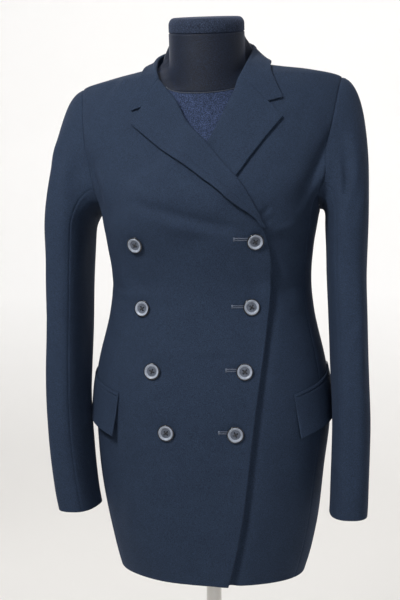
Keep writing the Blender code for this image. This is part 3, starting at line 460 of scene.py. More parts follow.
# Foot of the collar at the gorge, where it has curled round the edge: off it, into the cloth.
FOOT_OUT = 2.5, 2.6
STAND_LINES, FOLD_LINES = 8, 11
# Shares of the way from gorge to centre back by which the collar stands upright, its fold is as
# round as behind, its foot lies on the neck seam and its fall is free of the notch.
STANDS_UP, FOLD_OPENS, FOOT_SETTLES, FALL_FREE = 0.4, 0.25, 0.12, 0.3
# Bend of the fall: weights of its outer edge and of the neck seam, and how far it bows out.
BEND_EDGE, BEND_SEAM, BEND_OUT = 0.55, 0.45, 4.5
# The notch: its share of the gorge, and the lines of points up to it and beyond it.
NOTCH_SHARE, NOTCH_LINES, TIP_LINES = 0.56, 12, 10


# Curves and tables.


def smooth(x, xs, ys):
    """Monotone cubic curve through the points (xs, ys), read at x."""
    xs, ys = np.asarray(xs, float), np.asarray(ys, float)
    steps = np.diff(xs)
    rises = np.diff(ys) / steps
    slopes = np.zeros(len(xs))
    slopes[0], slopes[-1] = rises[0], rises[-1]
    before, after = rises[:-1], rises[1:]
    same = before * after > 0
    slopes[1:-1][same] = 2 * before[same] * after[same] / (before[same] + after[same])
    x = np.clip(np.asarray(x, float), xs[0], xs[-1])
    i = np.clip(np.searchsorted(xs, x, side="right") - 1, 0, len(xs) - 2)
    h = steps[i]
    s = (x - xs[i]) / h
    ends = ys[i] * (1 + 2 * s) * (1 - s) ** 2 + ys[i + 1] * s * s * (3 - 2 * s)
    return ends + h * (slopes[i] * s * (1 - s) ** 2 - slopes[i + 1] * s * s * (1 - s))


def read(table, z, column):
    """One column of a table of heights, read at z."""
    rows = np.array([[row[0], row[column]] for row in table], float)
    return smooth(z, rows[:, 0], rows[:, 1])


def ramp(x, low, high):
    """0 below low, 1 above high and a soft step between."""
    s = np.clip((np.asarray(x, float) - low) / (high - low), 0, 1)
    return s * s * (3 - 2 * s)


def unit(v):
    return v / np.maximum(np.linalg.norm(v, axis=-1, keepdims=True), 1e-9)


def mirrored(points, side):
    """Points of the left half as they are, or turned over to the right half."""
    return points * np.array([side, 1.0, 1.0])


def outline(t, power):
    """Sine and cosine of the angle t on a rounded outline of size one."""
    s, c = np.sin(t), np.cos(t)
    k = (np.abs(s) ** power + np.abs(c) ** power) ** (-1 / power)
    return s * k, c * k


# The jacket's surface.


def body(z, column):
    """One column of the jacket's sections, with the turns at waist and hip softened."""
    near = (read(BODY, z - SOFTEN, column) + read(BODY, z + SOFTEN, column)) / 2
    share = SOFTEN_SHARE * ramp(z, *SOFTEN_FROM) * (1 - ramp(z, *SOFTEN_UP_TO))
    return read(BODY, z, column) * (1 - share) + near * share


def base(t, z):
    """Point of the jacket's smooth outside at angle t from centre front and height z."""
    half, front, back, power = (body(z, i) for i in (1, 2, 3, 4))
    s, c = outline(t, power)
    y = -np.where(c > 0, front, back) * c
    return np.stack([half * s, y, np.broadcast_to(z, s.shape) + 0.0], -1)


def normal(t, z):
    """Direction out of the cloth at (t, z)."""
    dt, dz = 0.01, 0.6
    across = base(t + dt, z) - base(t - dt, z)
    up = base(t, z + dz) - base(t, z - dz)
    return unit(np.cross(across, up))


def bell(away, width):
    """1 at no distance, falling softly to nothing beyond the width."""
    return np.exp(-((away / width) ** 2))


def troughs_and_ridges(points, t, table, power):
    """How far the lines of a table lift or sink the cloth, faded to both ends by a power."""
    total = np.zeros(points.shape[:-1])
    for face, x1, z1, x2, z2, bow, height, half_width in table:
        along = np.array([x2 - x1, z2 - z1], float)
        length = np.linalg.norm(along)
        along /= length
        dx, dz = points[..., 0] - x1, points[..., 2] - z1
        fade = np.sin(np.pi * np.clip((dx * along[0] + dz * along[1]) / length, 0, 1))
        aside = dx * along[1] - dz * along[0] - bow * fade
        bump = height * bell(aside, half_width) * fade**power
        total += np.where((np.cos(t) > 0) == (face == "front"), bump, 0)
    return total


def skin(t, z, out=0.0):
    """Point of the cloth's outside at (t, z), moved out by out."""
    t, z = np.broadcast_arrays(np.asarray(t, float), np.asarray(z, float))
    points = base(t, z)
    lift = out + troughs_and_ridges(points, t, FOLDS, FOLD_FADE)
    return points + normal(t, z) * lift[..., None]


def front_angle(x, z):
    """Angle from centre front of the front's point at (x, z)."""
    power = body(z, 4)
    s = np.clip(np.abs(x) / body(z, 1), 0, 1)
    c = (1 - s**power) ** (1 / power)
    return np.sign(x) * np.arctan2(s, c)


def outer_angle(z, face):
    """Angle of a front's or a back's outer edge: side seam, armhole, then shoulder seam."""
    column = 1 if face == "front" else 2
    seam = np.radians(read(SIDE_SEAMS, z, column))
    hole = front_angle(read(ARMHOLE, z, column), z)
    if face == "back":
        hole = np.pi - hole
    return np.where(z <= UNDERARM, seam, np.where(z >= TIP, np.pi / 2, hole))


def edge_x(z, side):
    """x of a front's inner edge at height z."""
    return -side * read(EDGE[side], z, 1)


def overlap_lift(x, z):
    """How far the right front stands off where the left front and lapel lie beneath it."""
    inside = x - edge_x(z, LEFT)
    edge = np.array(LAPEL_EDGE[LEFT], float)
    above = z - smooth(x, edge[:, 0], edge[:, 1])
    over_front = ramp(inside, *OVER_FRONT) * (CLOTH + OVERLAP_GAP)
    over_lapel = ramp(inside, *OVER_LAPEL) * ramp(above, *BELOW_LAPEL) * (CLOTH + OVERLAP_GAP)
    return over_front + over_lapel * ramp(z, *LAPEL_COUNTS)


def lifted_skin(t, z, side, out=0.0):
    """The skin of one front: the right front also passes over the left one."""
    if side == LEFT:
        return skin(t, z, out)
    points = base(t, z)
    return skin(t, z, out + overlap_lift(points[..., 0], points[..., 2]))


def underarm_dip(share):
    """How far the armhole sinks at a share of its way under the arm."""
    return UNDERARM_DIP * np.sin(np.pi * share)


def back_neck_z(t, z):
    """Height of a back's point: the rows above the shoulder tip rise towards the centre."""
    rise = NECK_RISE * ramp(t, np.pi / 2, np.pi)
    return z + rise * np.clip((z - TIP) / (NECK_POINT - TIP), 0, 1)


def sleeve_ring(z, turn, side):
    """Points of the sleeve's section at height z, at the angles turn from its outer side."""
    x, y, half, depth, swing = (read(SLEEVE[::-1], z, i) for i in (1, 2, 3, 4, 5))
    c, s = outline(np.pi / 2 - turn, SLEEVE_POWER)
    yaw = math.radians(SLEEVE_YAW)
    u, v = half * c, -depth * s
    points = [x + side * swing + u * math.cos(yaw) - v * math.sin(yaw)]
    points.append(y + u * math.sin(yaw) + v * math.cos(yaw))
    points.append(np.full(turn.shape, float(z)))
    return np.stack(points, -1)


def way_along(points):
    """Distance of each point along the line from its first point."""
    return np.concatenate([[0], np.cumsum(np.linalg.norm(np.diff(points, axis=0), axis=-1))])


def along_path(path, shares):
    """Points at shares of the length of a soft path through the given points."""
    path = np.array(path, float)
    way = way_along(path)
    return np.stack([smooth(np.asarray(shares) * way[-1], way, path[:, i]) for i in (0, 1)], -1)


def off_the_front(points, side, out):
    """Points moved forwards where they lie deeper than out above the front's cloth."""
    points = points.copy()
    x, z = points[:, 0], points[:, 2]
    chest = (z < NECK_POINT - 1) & (points[:, 1] < -4) & (x < read(BODY, z, 1) - 1)
    t = side * front_angle(x, z)
    cloth, outwards = mirrored(skin(t, z), side), mirrored(normal(t, z), side)
    limit = cloth[:, 1] + out / np.minimum(outwards[:, 1], -0.2)
    points[:, 1] = np.where(chest, np.minimum(points[:, 1], limit), points[:, 1])
    return points


def flowing(x, xs, ys):
    """Soft curve through the points (xs, ys), read at x, which may swing past them."""
    slopes = np.gradient(ys, xs)
    i = np.clip(np.searchsorted(xs, x, side="right") - 1, 0, len(xs) - 2)
    h = xs[i + 1] - xs[i]
    s = np.clip((x - xs[i]) / h, 0, 1)
    ends = ys[i] * (1 + 2 * s) * (1 - s) ** 2 + ys[i + 1] * s * s * (3 - 2 * s)
    return ends + h * (slopes[i] * s * (1 - s) ** 2 - slopes[i + 1] * s * s * (1 - s))


def waves(points):
    """Gentle rise and fall of the cloth at the points."""
    total = np.zeros(points.shape[:-1])
    for across, up, shift, height in WAVES:
        phase = points[..., 0] * TURN / across + points[..., 2] * TURN / up + shift
        total += height * np.sin(phase)
    return total


def crease_height(points, t):
    """How far the panels' creases lift or sink the cloth at the points."""
    total = waves(points) + troughs_and_ridges(points, t, CREASES, CREASE_FADE)
    for x, z in (*BUTTONS[RIGHT], *BUTTONS[LEFT]):
        away = np.hypot(points[..., 0] - x, points[..., 2] - z)
        total -= np.where(np.cos(t) > 0, BUTTON_PULL * bell(away, BUTTON_PULL_WIDTH), 0)
    return total


def edge_lift(points, side):
    """How far the free front edge lifts the right front, and how the left one sinks beside it."""
    z = points[..., 2]
    beside = points[..., 0] - edge_x(z, RIGHT)
    (none, full), (low, high) = EDGE_GAPE_HEIGHTS
    reach = ramp(-z, -none, -full)
    if side == LEFT:
        return -EDGE_DIP * reach * bell(beside - EDGE_DIP_AWAY, EDGE_DIP_WIDTH)
    gape = EDGE_GAPE_LOW + (EDGE_GAPE - EDGE_GAPE_LOW) * ramp(z, low, high)
    return gape * reach * bell(beside, EDGE_GAPE_WIDTH)


def creased(t, z, side, out=0.0, front=True):
    """The skin of a panel with its creases: a front also passes over the other front."""
    points = lifted_skin(t, z, side, out) if front else skin(t, z, out)
    smooth_points = base(t, z)
    lift = crease_height(smooth_points, t)
    if front:
        lift = lift + edge_lift(smooth_points, side)
    return points + normal(t, z) * lift[..., None]


def lying(t, z, side, out):
    """Points that lie at a distance out above a front, with the rise and fall of its cloth.

    On the left front they also follow its creases where the right front covers them.
    """
    points = base(t, z)
    lift = waves(points)
    if side == LEFT:
        covered = ramp(edge_x(points[..., 2], RIGHT) - points[..., 0], 0, 15)
        lift = lift + (crease_height(points, t) - lift) * covered
    return lifted_skin(t, z, side, out) + normal(t, z) * lift[..., None]


# Grids of points.


def ways(grid):
    """Distance of each point from its row's first point."""
    steps = np.linalg.norm(np.diff(grid, axis=1), axis=-1)
    return np.concatenate([np.zeros((len(grid), 1)), np.cumsum(steps, 1)], 1)


def turned_over(grid):
    """The grid with its rows as columns."""
    return np.swapaxes(grid, 0, 1)


def stations(lengths, step):
    """Places along each length: close together in a strip at both ends, even between."""
    count = max(2, int(round(lengths.mean() / step)))
    strips = np.minimum(EDGE_STRIP, lengths / 4)[:, None]
    even = strips + (lengths[:, None] - 2 * strips) * np.linspace(0, 1, count + 1)
    near = strips * np.array(EDGE_PLACES)
    return np.concatenate([near, even, lengths[:, None] - near[:, ::-1]], 1)


def respaced(grid, step, cuts=()):
    """The grid with new points along its rows, between the columns that stay in place."""
    parts = []
    for first, last in zip((0, *cuts), (*cuts, grid.shape[1] - 1)):
        piece = grid[:, first : last + 1]
        way = ways(piece)
        way += np.arange(way.shape[1]) * 1e-6
        places = stations(way[:, -1], step)
        rows = []
        for points, own, wanted in zip(piece, way, places):
            rows.append(np.stack([flowing(wanted, own, points[:, i]) for i in range(3)], -1))
        parts.append(np.array(rows)[:, (1 if parts else 0) :])
    return np.concatenate(parts, 1)


def respaced_both(grid, step, cuts=()):
    """The grid with new points along its rows and its columns."""
    grid = respaced(grid, step, cuts)
    return turned_over(respaced(turned_over(grid), step))


def facing(grid, rough):
    """Unit normals of the grid, on the side that rough points to."""
    found = unit(np.cross(np.gradient(grid, axis=1), np.gradient(grid, axis=0)))
    return found if np.sum(found * rough) > 0 else -found


def border_ways(grid):
    """Distance of each point from the first and last row and the first and last column."""
    down = turned_over(ways(turned_over(grid)))
    across = ways(grid)
    return down, down[-1:] - down, across, across[:, -1:] - across


def edge_offsets(grid, free):
    """How far the outer and the inner skin move in at the borders.

    A free border is rounded over the cloth's thickness, and a sewn one sinks into its seam.
    """
    radius = SHOWN_CLOTH / 2 - 0.02
    outer, inner = np.zeros(grid.shape[:2]), np.zeros(grid.shape[:2])
    for way, loose in zip(border_ways(grid), free):
        reach = np.maximum(radius - way, 0)
        rounding = radius - np.sqrt(np.maximum(radius**2 - reach**2, 0))
        sunk = SINK * bell(way, SINK_WIDTH)
        outer = np.maximum(outer, loose * rounding + (1 - loose) * sunk)
        inner = np.maximum(inner, loose * rounding)
    return outer, inner


# Shells of cloth.


def declare(made, node):
    """The object rides on the part and stands for a CAD node, if there is one."""
    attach(made, BODY_NAME)
    if node:
        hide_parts(node)


def finish_piece(name, node, mesh, material):
    """The mesh as an object of the part."""
    mesh.materials.append(material)
    made = bpy.data.objects.new(name, mesh)
    bpy.context.collection.objects.link(made)
    declare(made, node)
    return made


def lay_flat(mesh, grid):
    """Both skins get the same UV map, the ways along the grid in metres, as on the cut piece."""
    lay = np.stack([ways(grid), turned_over(ways(turned_over(grid)))], -1).reshape(-1, 2) * MM
    lay = np.concatenate([lay, lay])
    loops = np.empty(len(mesh.loops), int)
    mesh.loops.foreach_get("vertex_index", loops)
    mesh.uv_layers.new(name="Cut").data.foreach_set("uv", lay[loops].ravel())


def face_outwards(mesh):
    """A closed mesh gets its faces turned outwards and is shaded smooth."""
    bm = bmesh.new()
    bm.from_mesh(mesh)
    bmesh.ops.recalc_face_normals(bm, faces=bm.faces)
    bm.to_mesh(mesh)
    bm.free()
    mesh.shade_smooth()


def shell(name, node, grid, rough, free, material, relief=0.0):
    """A thin closed shell of cloth whose outside is the grid, raised by relief."""
    out = facing(grid, rough)
    outer_in, inner_in = edge_offsets(grid, free)
    outer = grid + out * (relief - outer_in)[..., None]
    inner = grid + out * (inner_in - SHOWN_CLOTH)[..., None]
    rows, columns = grid.shape[:2]
    count = rows * columns
    index = np.arange(count).reshape(rows, columns)
    corners = (index[:-1, :-1], index[:-1, 1:], index[1:, 1:], index[1:, :-1])
    quads = np.stack(corners, -1).reshape(-1, 4)
    rim = np.concatenate([index[0], index[1:, -1], index[-1, -2::-1], index[-2:0:-1, 0]])
    after = np.roll(rim, -1)
    sides = np.stack([rim, rim + count, after + count, after], -1)
    faces = np.concatenate([quads, quads[:, ::-1] + count, sides])
    mesh = bpy.data.meshes.new(name)
    points = np.concatenate([outer.reshape(-1, 3), inner.reshape(-1, 3)]) * MM
    mesh.from_pydata(points.tolist(), [], faces.tolist())
    lay_flat(mesh, grid)
    face_outwards(mesh)
    return finish_piece(name, node, mesh, material)


# Fronts, side bodies and backs.


def panel(z, low, high, columns, side=LEFT):
    """Angles and heights of a panel whose rows, at the heights z, go from angles low to high.

    The hem hangs lower on the left, so angles that are counted for one side are told which.
    """
    share = np.linspace(0, 1, columns + 1)[None, :]
    t = low[:, None] * (1 - share) + high[:, None] * share
    z = np.broadcast_to(z[:, None], t.shape).copy()
    above = np.clip((z - HEM) / HEM_BLEND, 0, 1)
    z -= HEM_TILT * side * np.sin(t) * (1 - above)
    return t, z


def panel_heights(top):
    """Heights of a panel's rows, closer together where the shoulder slopes."""
    low, middle, high = PANEL_ROWS
    rows = [np.linspace(HEM, UNDERARM, low)]
    if top > UNDERARM:
        rows.append(np.linspace(UNDERARM + 2, TIP - SHOULDER_SLOPE - 1, middle))
        rows.append(np.linspace(TIP - SHOULDER_SLOPE, top, high))
    return np.concatenate(rows)


def add_fronts(wool):
    heights = panel_heights(NECK_POINT - 0.4)
    for side in (RIGHT, LEFT):
        seam = side * outer_angle(heights, "front")
        edge = front_angle(edge_x(heights, side), heights)
        t, z = panel(heights, seam, edge, FRONT_COLUMNS)
        grid = respaced_both(creased(t, z, side), FRONT_STEP)
        name = f"front_{SIDE_NAMES[side]}"
        free = (1, 0, 0, (grid[:, -1:, 2] < GORGE).astype(float))
        rough = grid * [1, 1, 0]
        shell(f"{name}_cloth", name, grid, rough, free, wool)


def add_side_bodies(wool):
    heights = panel_heights(UNDERARM)
    front, back = outer_angle(heights, "front"), outer_angle(heights, "back")
    for side in (RIGHT, LEFT):
        t, z = panel(heights, front, back, SIDE_BODY_COLUMNS, side)
        dip = underarm_dip(np.linspace(0, 1, SIDE_BODY_COLUMNS + 1))
        z -= dip * np.clip((z - UNDERARM_START) / (UNDERARM - UNDERARM_START), 0, 1)
        grid = respaced_both(creased(side * t, z, side, front=False), PANEL_STEP)
        name = f"side_{SIDE_NAMES[side]}"
        rough = grid * [1, 1, 0]
        shell(f"{name}_cloth", name, grid, rough, (1, 0, 0, 0), wool)


def add_backs(wool):
    heights = panel_heights(NECK_POINT)
    seam, centre = outer_angle(heights, "back"), np.full(heights.shape, np.pi)
    for side in (RIGHT, LEFT):
        t, z = panel(heights, seam, centre, BACK_COLUMNS, side)
        z = back_neck_z(t, z)
        grid = respaced_both(creased(side * t, z, side, front=False), PANEL_STEP)
        name = f"back_{SIDE_NAMES[side]}"
        rough = grid * [1, 1, 0]
        shell(f"{name}_cloth", name, grid, rough, (1, 0, 0, 0), wool)


# Sleeves.


def armhole_stations():
    """Angles and heights round the armhole: tip, front, underarm, back and tip again."""
    last = len(ARMHOLE_ROWS) - 1
    places = np.linspace(0, last, last * FINE + 1)
    up = np.interp(places, np.arange(last + 1), ARMHOLE_ROWS)
    down = up[::-1]
    share = np.linspace(0, 1, SIDE_COLUMNS * FINE + 1)[1:-1]
    low = outer_angle(np.array(UNDERARM), "front")
    high = outer_angle(np.array(UNDERARM), "back")
    t = [outer_angle(down, "front"), low + (high - low) * share, outer_angle(up, "back")]
    z = [down, UNDERARM - underarm_dip(share), up]
    return np.concatenate(t), np.concatenate(z)


def sleeve_relief(side, turn, z):
    """How far a sleeve's creases lift or sink its cloth."""
    total = 0
    for count, down, shift, height in SLEEVE_WAVES:
        total = total + height * np.sin(turn * count + z * TURN / down + shift * side)
    for own_side, turn_1, z1, turn_2, z2, height, half_width in SLEEVE_CREASES:
        if own_side != side:
            continue
        share = np.clip((z1 - z) / (z1 - z2), 0, 1)
        middle = np.radians(turn_1 + (turn_2 - turn_1) * share)
        aside = (turn - middle + np.pi) % (2 * np.pi) - np.pi
        bump = height * bell(aside, math.radians(half_width))
        total = total + bump * np.sin(np.pi * share)
    return total * ramp(z, CUFF, CUFF + CUFF_FLAT)


def armhole_turns(start):
    """Turns of a sleeve's columns, counted along the armhole to its lowest point and beyond."""
    steps = np.linalg.norm(np.roll(start, -1, 0) - start, axis=-1)
    way = np.concatenate([[0], np.cumsum(steps)])
    lowest = len(start) // 2
    return np.where(
        np.arange(len(start)) <= lowest,
        np.pi * way[:-1] / way[lowest],
        np.pi + np.pi * (way[:-1] - way[lowest]) / (way[-1] - way[lowest]),
    )


def cap_rows(start, away, turn, side):
    """Rows that swell away from the armhole's seam and fall into the sleeve's first section."""
    end = sleeve_ring(SLEEVE[0][0], turn, side)
    fall = unit(sleeve_ring(SLEEVE[1][0], turn, side) - end)
    span = np.linalg.norm(end - start, axis=-1, keepdims=True)
    leave = unit(away * CAP_TURN + np.array([CAP_OUT, 0, 0]))
    swell = np.minimum(CAP_SWELL * span, CAP_SWELL_MAX + CAP_SWELL_SHARE * span)
    first = start + leave * swell
    second = end - fall * span * CAP_FALL
    rows = []
    for v in np.linspace(0, 1, SLEEVE_CAP_ROWS):
        w = 1 - v
        rows.append(start * w**3 + first * 3 * w * w * v + second * 3 * w * v * v + end * v**3)
    return rows


def sleeve_grid(side):
    """Outer points of one sleeve in rows from the armhole to the cuff."""
    t, z = armhole_stations()
    start = mirrored(creased(side * t, z, side, front=False), side)[:-1]
    out = mirrored(normal(side * t, z), side)[:-1]
    along = unit(np.roll(start, -1, 0) - np.roll(start, 1, 0))
    away = unit(np.cross(out, along))
    start = start + away * SLEEVE_GAP
    turn = armhole_turns(start)
    rows = cap_rows(start, away, turn, side)
    heights = np.arange(SLEEVE[0][0] - SLEEVE_ROW, CUFF, -SLEEVE_ROW)
    rows += [sleeve_ring(height, turn, side) for height in (*heights, CUFF)]
    grid = np.array(rows)
    around = np.broadcast_to(turn, grid.shape[:2])
    round_grid = np.concatenate([grid[:, -1:], grid, grid[:, :1]], 1)
    out = unit(np.cross(np.gradient(round_grid, axis=1), np.gradient(round_grid, axis=0)))[:, 1:-1]
    outward = grid - grid.mean(1, keepdims=True)
    out = out if np.sum(out * outward) > 0 else -out
    settled = ramp(np.arange(len(grid)), 0, SLEEVE_SETTLE)[:, None]
    lift = sleeve_relief(side, around, grid[..., 2]) * settled
    return grid + out * lift[..., None]


def add_sleeves(wool):
    for side in (RIGHT, LEFT):
        grid = sleeve_grid(side)
        count = grid.shape[1]
        first, last = FRONT_SLEEVE_SEAM * FINE, BACK_SLEEVE_SEAM * FINE
        under = list(range(first, last + 1))
        over = [i % count for i in range(last, count + first + 1)]
        for part, columns in (("top", over), ("under", under)):
            fine = respaced_both(grid[:, columns], PANEL_STEP)
            rough = np.zeros(fine.shape)
            for axis in (0, 1):
                rough[..., axis] = fine[..., axis] - read(SLEEVE[::-1], fine[..., 2], axis + 1)
            name = f"sleeve_{part}_{SIDE_NAMES[side]}"
            fine, rough = mirrored(fine, side), mirrored(rough, side)
            made = shell(f"{name}_cloth", name, fine, rough, (0, 1, 0, 0), wool)


# Lapels and collar.


def roll_frames(t, z, side):
    """Points of a front's inner edge, with the directions out of the cloth and off its edge."""
    points = mirrored(lifted_skin(side * t, z, side), side)
    out = unit(mirrored(lifted_skin(side * t, z, side, 1.0), side) - points)
    along = unit(np.gradient(points, axis=0))
    return points, out, unit(np.cross(out, along))


def gorge_point(side, share, tip):
    """x and height at a share of the way from the gorge's end over the notch to a tip."""
    start = (-float(read(EDGE[side], GORGE, 1)), GORGE)
    if share <= NOTCH_SHARE:
        one, two, s = start, NOTCH[side], share / NOTCH_SHARE
    else:
        one, two, s = NOTCH[side], tip, (share - NOTCH_SHARE) / (1 - NOTCH_SHARE)
    return np.array(one) * (1 - s) + np.array(two) * s


def across_shares():
    """Shares of the way from a fold to the outer edge, with the notch's own among them."""
    to_notch = np.linspace(0, NOTCH_SHARE, NOTCH_LINES + 1)[1:]
    return (*to_notch, *np.linspace(NOTCH_SHARE, 1, TIP_LINES + 1)[1:])


def roll_line(side, rows):
    """x and height of the lapel's rows along the roll line, with their frames."""
    z = np.linspace(LAPEL_START, GORGE, rows)
    x = -read(EDGE[side], z, 1)
    return x, z, roll_frames(front_angle(x, z), z, side)


def lapel_grid(side):
    """Outer points of a lapel: the roll round the front's edge, then lines to its outer edge."""
    rows = np.linspace(0, 1, LAPEL_LINES)
    x, z, (edge, out, off) = roll_line(side, LAPEL_LINES)
    reach, rise = WRAP_OUTER
    columns = []
    for turn in ROLL_TURNS:
        height = WRAP_RAISE + rise * np.cos(turn)
        columns.append(edge + off * reach * np.sin(turn) + out * height)
    roll = np.stack([x, z], -1)
    far = along_path(LAPEL_EDGE[side], rows)
    low_gape, tip_gape = LAPEL_GAPE[side]
    gape = low_gape + (tip_gape - low_gape) * ramp(rows, *GAPE_TURNS)
    gape = gape * ramp(rows, 0, GAPE_FULL)
    for share in across_shares():
        place = roll * (1 - share) + far * share
        last = gorge_point(side, share, LAPEL_EDGE[side][-1])
        place = place + rows[:, None] ** 3 * (last - place[-1])
        t = side * front_angle(place[:, 0], place[:, 1])
        crown = LAPEL_CROWN * math.sin(math.pi * share)
        above = TOP + LAPEL_RISE + crown + gape * share**2
        columns.append(mirrored(lying(t, place[:, 1], side, above), side))
    notch = len(ROLL_TURNS) + NOTCH_LINES - 1
    return mirrored(respaced_both(np.stack(columns, 1), LAPEL_STEP, (notch,)), side)


def add_lapels(wool):
    for side in (RIGHT, LEFT):
        grid = lapel_grid(side)
        free = (1, beyond(grid[-1], NOTCH[side]), 1, 1)
        edge_way = border_ways(grid)[3]
        ends = ALLOWANCE - ALLOWANCE_STEP, ALLOWANCE + ALLOWANCE_STEP
        relief = PRESSED * (1 - ramp(edge_way, *ends))
        relief -= PRESSED_LESS * bell(edge_way - ALLOWANCE - 1.5, ALLOWANCE_STEP)
        rough = np.zeros(grid.shape)
        rough[:, -8:, 1] = -1
        name = f"lapel_{SIDE_NAMES[side]}"
        made = shell(f"{name}_cloth", name, grid, rough, free, wool, relief)


def beyond(row, place):
    """1 for a row's points past the one nearest to a place, x and height, and 0 before it."""
    away = np.hypot(np.abs(row[:, 0]) - place[0], row[:, 2] - place[1])
    return (np.arange(len(row)) > np.argmin(away)).astype(float)


def collar_seam(side):
    """The neck seam from the gorge to centre back, whose first frame is the lapel's own."""
    front_z = np.concatenate([np.linspace(GORGE, TIP, 5)[:-1], np.linspace(TIP, NECK_POINT, 17)])
    front_t = front_angle(-read(EDGE[side], front_z, 1), front_z)
    back_t = np.linspace(np.pi / 2, np.pi, 33)[1:]
    back_z = back_neck_z(back_t, np.full(back_t.shape, float(NECK_POINT)))
    t, z = np.concatenate([front_t, back_t]), np.concatenate([front_z, back_z])
    frames = roll_frames(t, z, side)
    for own, lapels in zip(frames, roll_line(side, LAPEL_LINES)[2]):
        own[0] = lapels[-1]
    return frames


def collar_middle(side, u, start):
    """Middle of the collar's roll at shares of the way, with one row mirrored past the back."""
    rows = [(0.0, *start), *COLLAR_ROLL[side]]
    u_over, x_over, *rest = rows[-2]
    rows.append((2 - u_over, -x_over, *rest))
    table = np.array(rows, float)
    return np.stack([smooth(u, table[:, 0], table[:, i]) for i in (1, 2, 3)], -1)


def collar_half(side):
    """Outer points of half the collar, from the gorge to centre back: stand, fold and fall."""
    seam, out, off = collar_seam(side)
    way = way_along(seam)
    u = way / way[-1]
    middle = collar_middle(side, u, seam[0])
    turned_up = ramp(u, 0, STANDS_UP)[:, None]
    aside = middle * [1, 1, 0] - np.array([0, NECK_Y, 0])
    outward = unit(out[0] * (1 - turned_up) + unit(aside) * turned_up)
    up = unit(off[0] * (1 - turned_up) + np.array([0, 0, 1.0]) * turned_up)
    up = unit(up - outward * np.sum(up * outward, -1, keepdims=True))
    grown = ramp(u, 0, FOLD_OPENS)[:, None]
    low_turn = np.radians(FOLD_TURN + FOLD_TURN_MORE * grown)
    reach = WRAP_OUTER[0] * (1 - grown) + COLLAR_RADIUS * grown
    rise = WRAP_OUTER[1] * (1 - grown) + COLLAR_RADIUS * grown
    fold = []
    for share in np.linspace(1, 0, FOLD_LINES):
        turn = low_turn * share
        height = WRAP_RAISE * (1 - grown) + rise * np.cos(turn)
        fold.append(middle + up * reach * np.sin(turn) + outward * height)
    grows = ramp(u, 0, FOOT_SETTLES)[:, None]
    off_out = FOOT_OUT[0] * (1 - grows) + SEAM_CLEAR * grows
    foot = seam + off * off_out - out * (FOOT_OUT[1] * (1 - grows) + CLOTH * grows)
    shares = np.linspace(1, 1 / STAND_LINES, STAND_LINES)
    stand = [fold[0] * (1 - share) + foot * share for share in shares]
    return mirrored(np.stack(stand + fold + collar_fall(side, u, fold[-1], seam), 1), side)


def collar_fall(side, u, top, seam):
    """Columns of the collar from its fold down to its outer edge on the shoulders."""
    table = np.array([(0.0, *COLLAR_TIP[side]), *COLLAR_EDGE[side], *COLLAR_BACK], float)
    x, z = (smooth(u, table[:, 0], table[:, i]) for i in (1, 2))
    t = front_angle(x, z)
    t = np.where(u > COLLAR_SHOULDER, np.pi - t, t)
    edge = mirrored(skin(side * t, z, TOP), side)
    edge_out = unit(mirrored(skin(side * t, z, TOP + 1), side) - edge)
    edge[:, 2] += SHOULDER_RAISE * bell(u - COLLAR_SHOULDER, SHOULDER_REACH)
    bow = BEND_OUT * ramp(u, 0, FALL_FREE)[:, None]
    bend = edge * BEND_EDGE + seam * BEND_SEAM + edge_out * bow
    near = (1 - ramp(u, 0, FALL_FREE))[:, None]
    fall = []
    for share in across_shares():
        w = 1 - share
        points = top * w * w + bend * 2 * w * share + edge * share**2
        x, height = gorge_point(side, share, COLLAR_TIP[side])
        first = mirrored(skin(side * front_angle(np.array(x), height), height, TOP), side)
        points = points + near * (first - points[0])
        fall.append(off_the_front(points, side, TOP + 0.3))
    return fall


def add_collar(wool):
    right, left = collar_half(RIGHT), collar_half(LEFT)
    grid = np.concatenate([right, left[-2::-1]])
    notch = STAND_LINES + FOLD_LINES + NOTCH_LINES - 1
    grid = respaced_both(grid, LAPEL_STEP, (notch,))
    free = (beyond(grid[0], NOTCH[RIGHT]), beyond(grid[-1], NOTCH[LEFT]), 0, 1)
    edge_way = border_ways(grid)[3]
    ends = COLLAR_ALLOWANCE - ALLOWANCE_STEP, COLLAR_ALLOWANCE + ALLOWANCE_STEP
    relief = PRESSED_LESS * (1 - ramp(edge_way, *ends))
    rough = np.zeros(grid.shape)
    rough[:, -6:] = unit(grid[:, -6:] * [1, 1, 0]) + [0, 0, 1.0]
    made = shell("collar_cloth", "collar", grid, rough, free, wool, relief)


# Pockets.


def flap_line(columns, side):
    """Angles and heights of a pocket's mouth."""
    share = np.linspace(0, 1, columns + 1)
    first = front_angle(np.array(float(FLAP_X[side])), FLAP_FRONT_Z)
    t = first + (math.radians(FLAP_BACK_ANGLE) - first) * share
    return share, t, FLAP_FRONT_Z + (FLAP_BACK_Z - FLAP_FRONT_Z) * share


def add_pockets(wool):
    for side in (RIGHT, LEFT):
        add_jet(side, wool)
        add_flap(side, wool)


def add_jet(side, wool):
    """The narrow jet over the flap, which tapers and lies closer at its back end."""
    share, t, z = flap_line(FLAP_COLUMNS, side)
    taper = 1 - JET_TAPER * ramp(share, *JET_TAPER_FROM)
    rise = np.linspace(JET_FOOT, JET_DEPTH, JET_ROWS)[:, None] * taper
    out = TOP - POCKET_CLOSE * ramp(share, *POCKET_CLOSE_FROM)
    grid = lying(side * np.broadcast_to(t, rise.shape), z + rise, side, out)
    grid = turned_over(respaced(turned_over(respaced(grid, FLAP_STEP)), JET_STEP))
    name = f"pocket_jet_{SIDE_NAMES[side]}"
    made = shell(f"{name}_cloth", name, grid, grid * [1, 1, 0], (1, 0, 0, 0), wool)


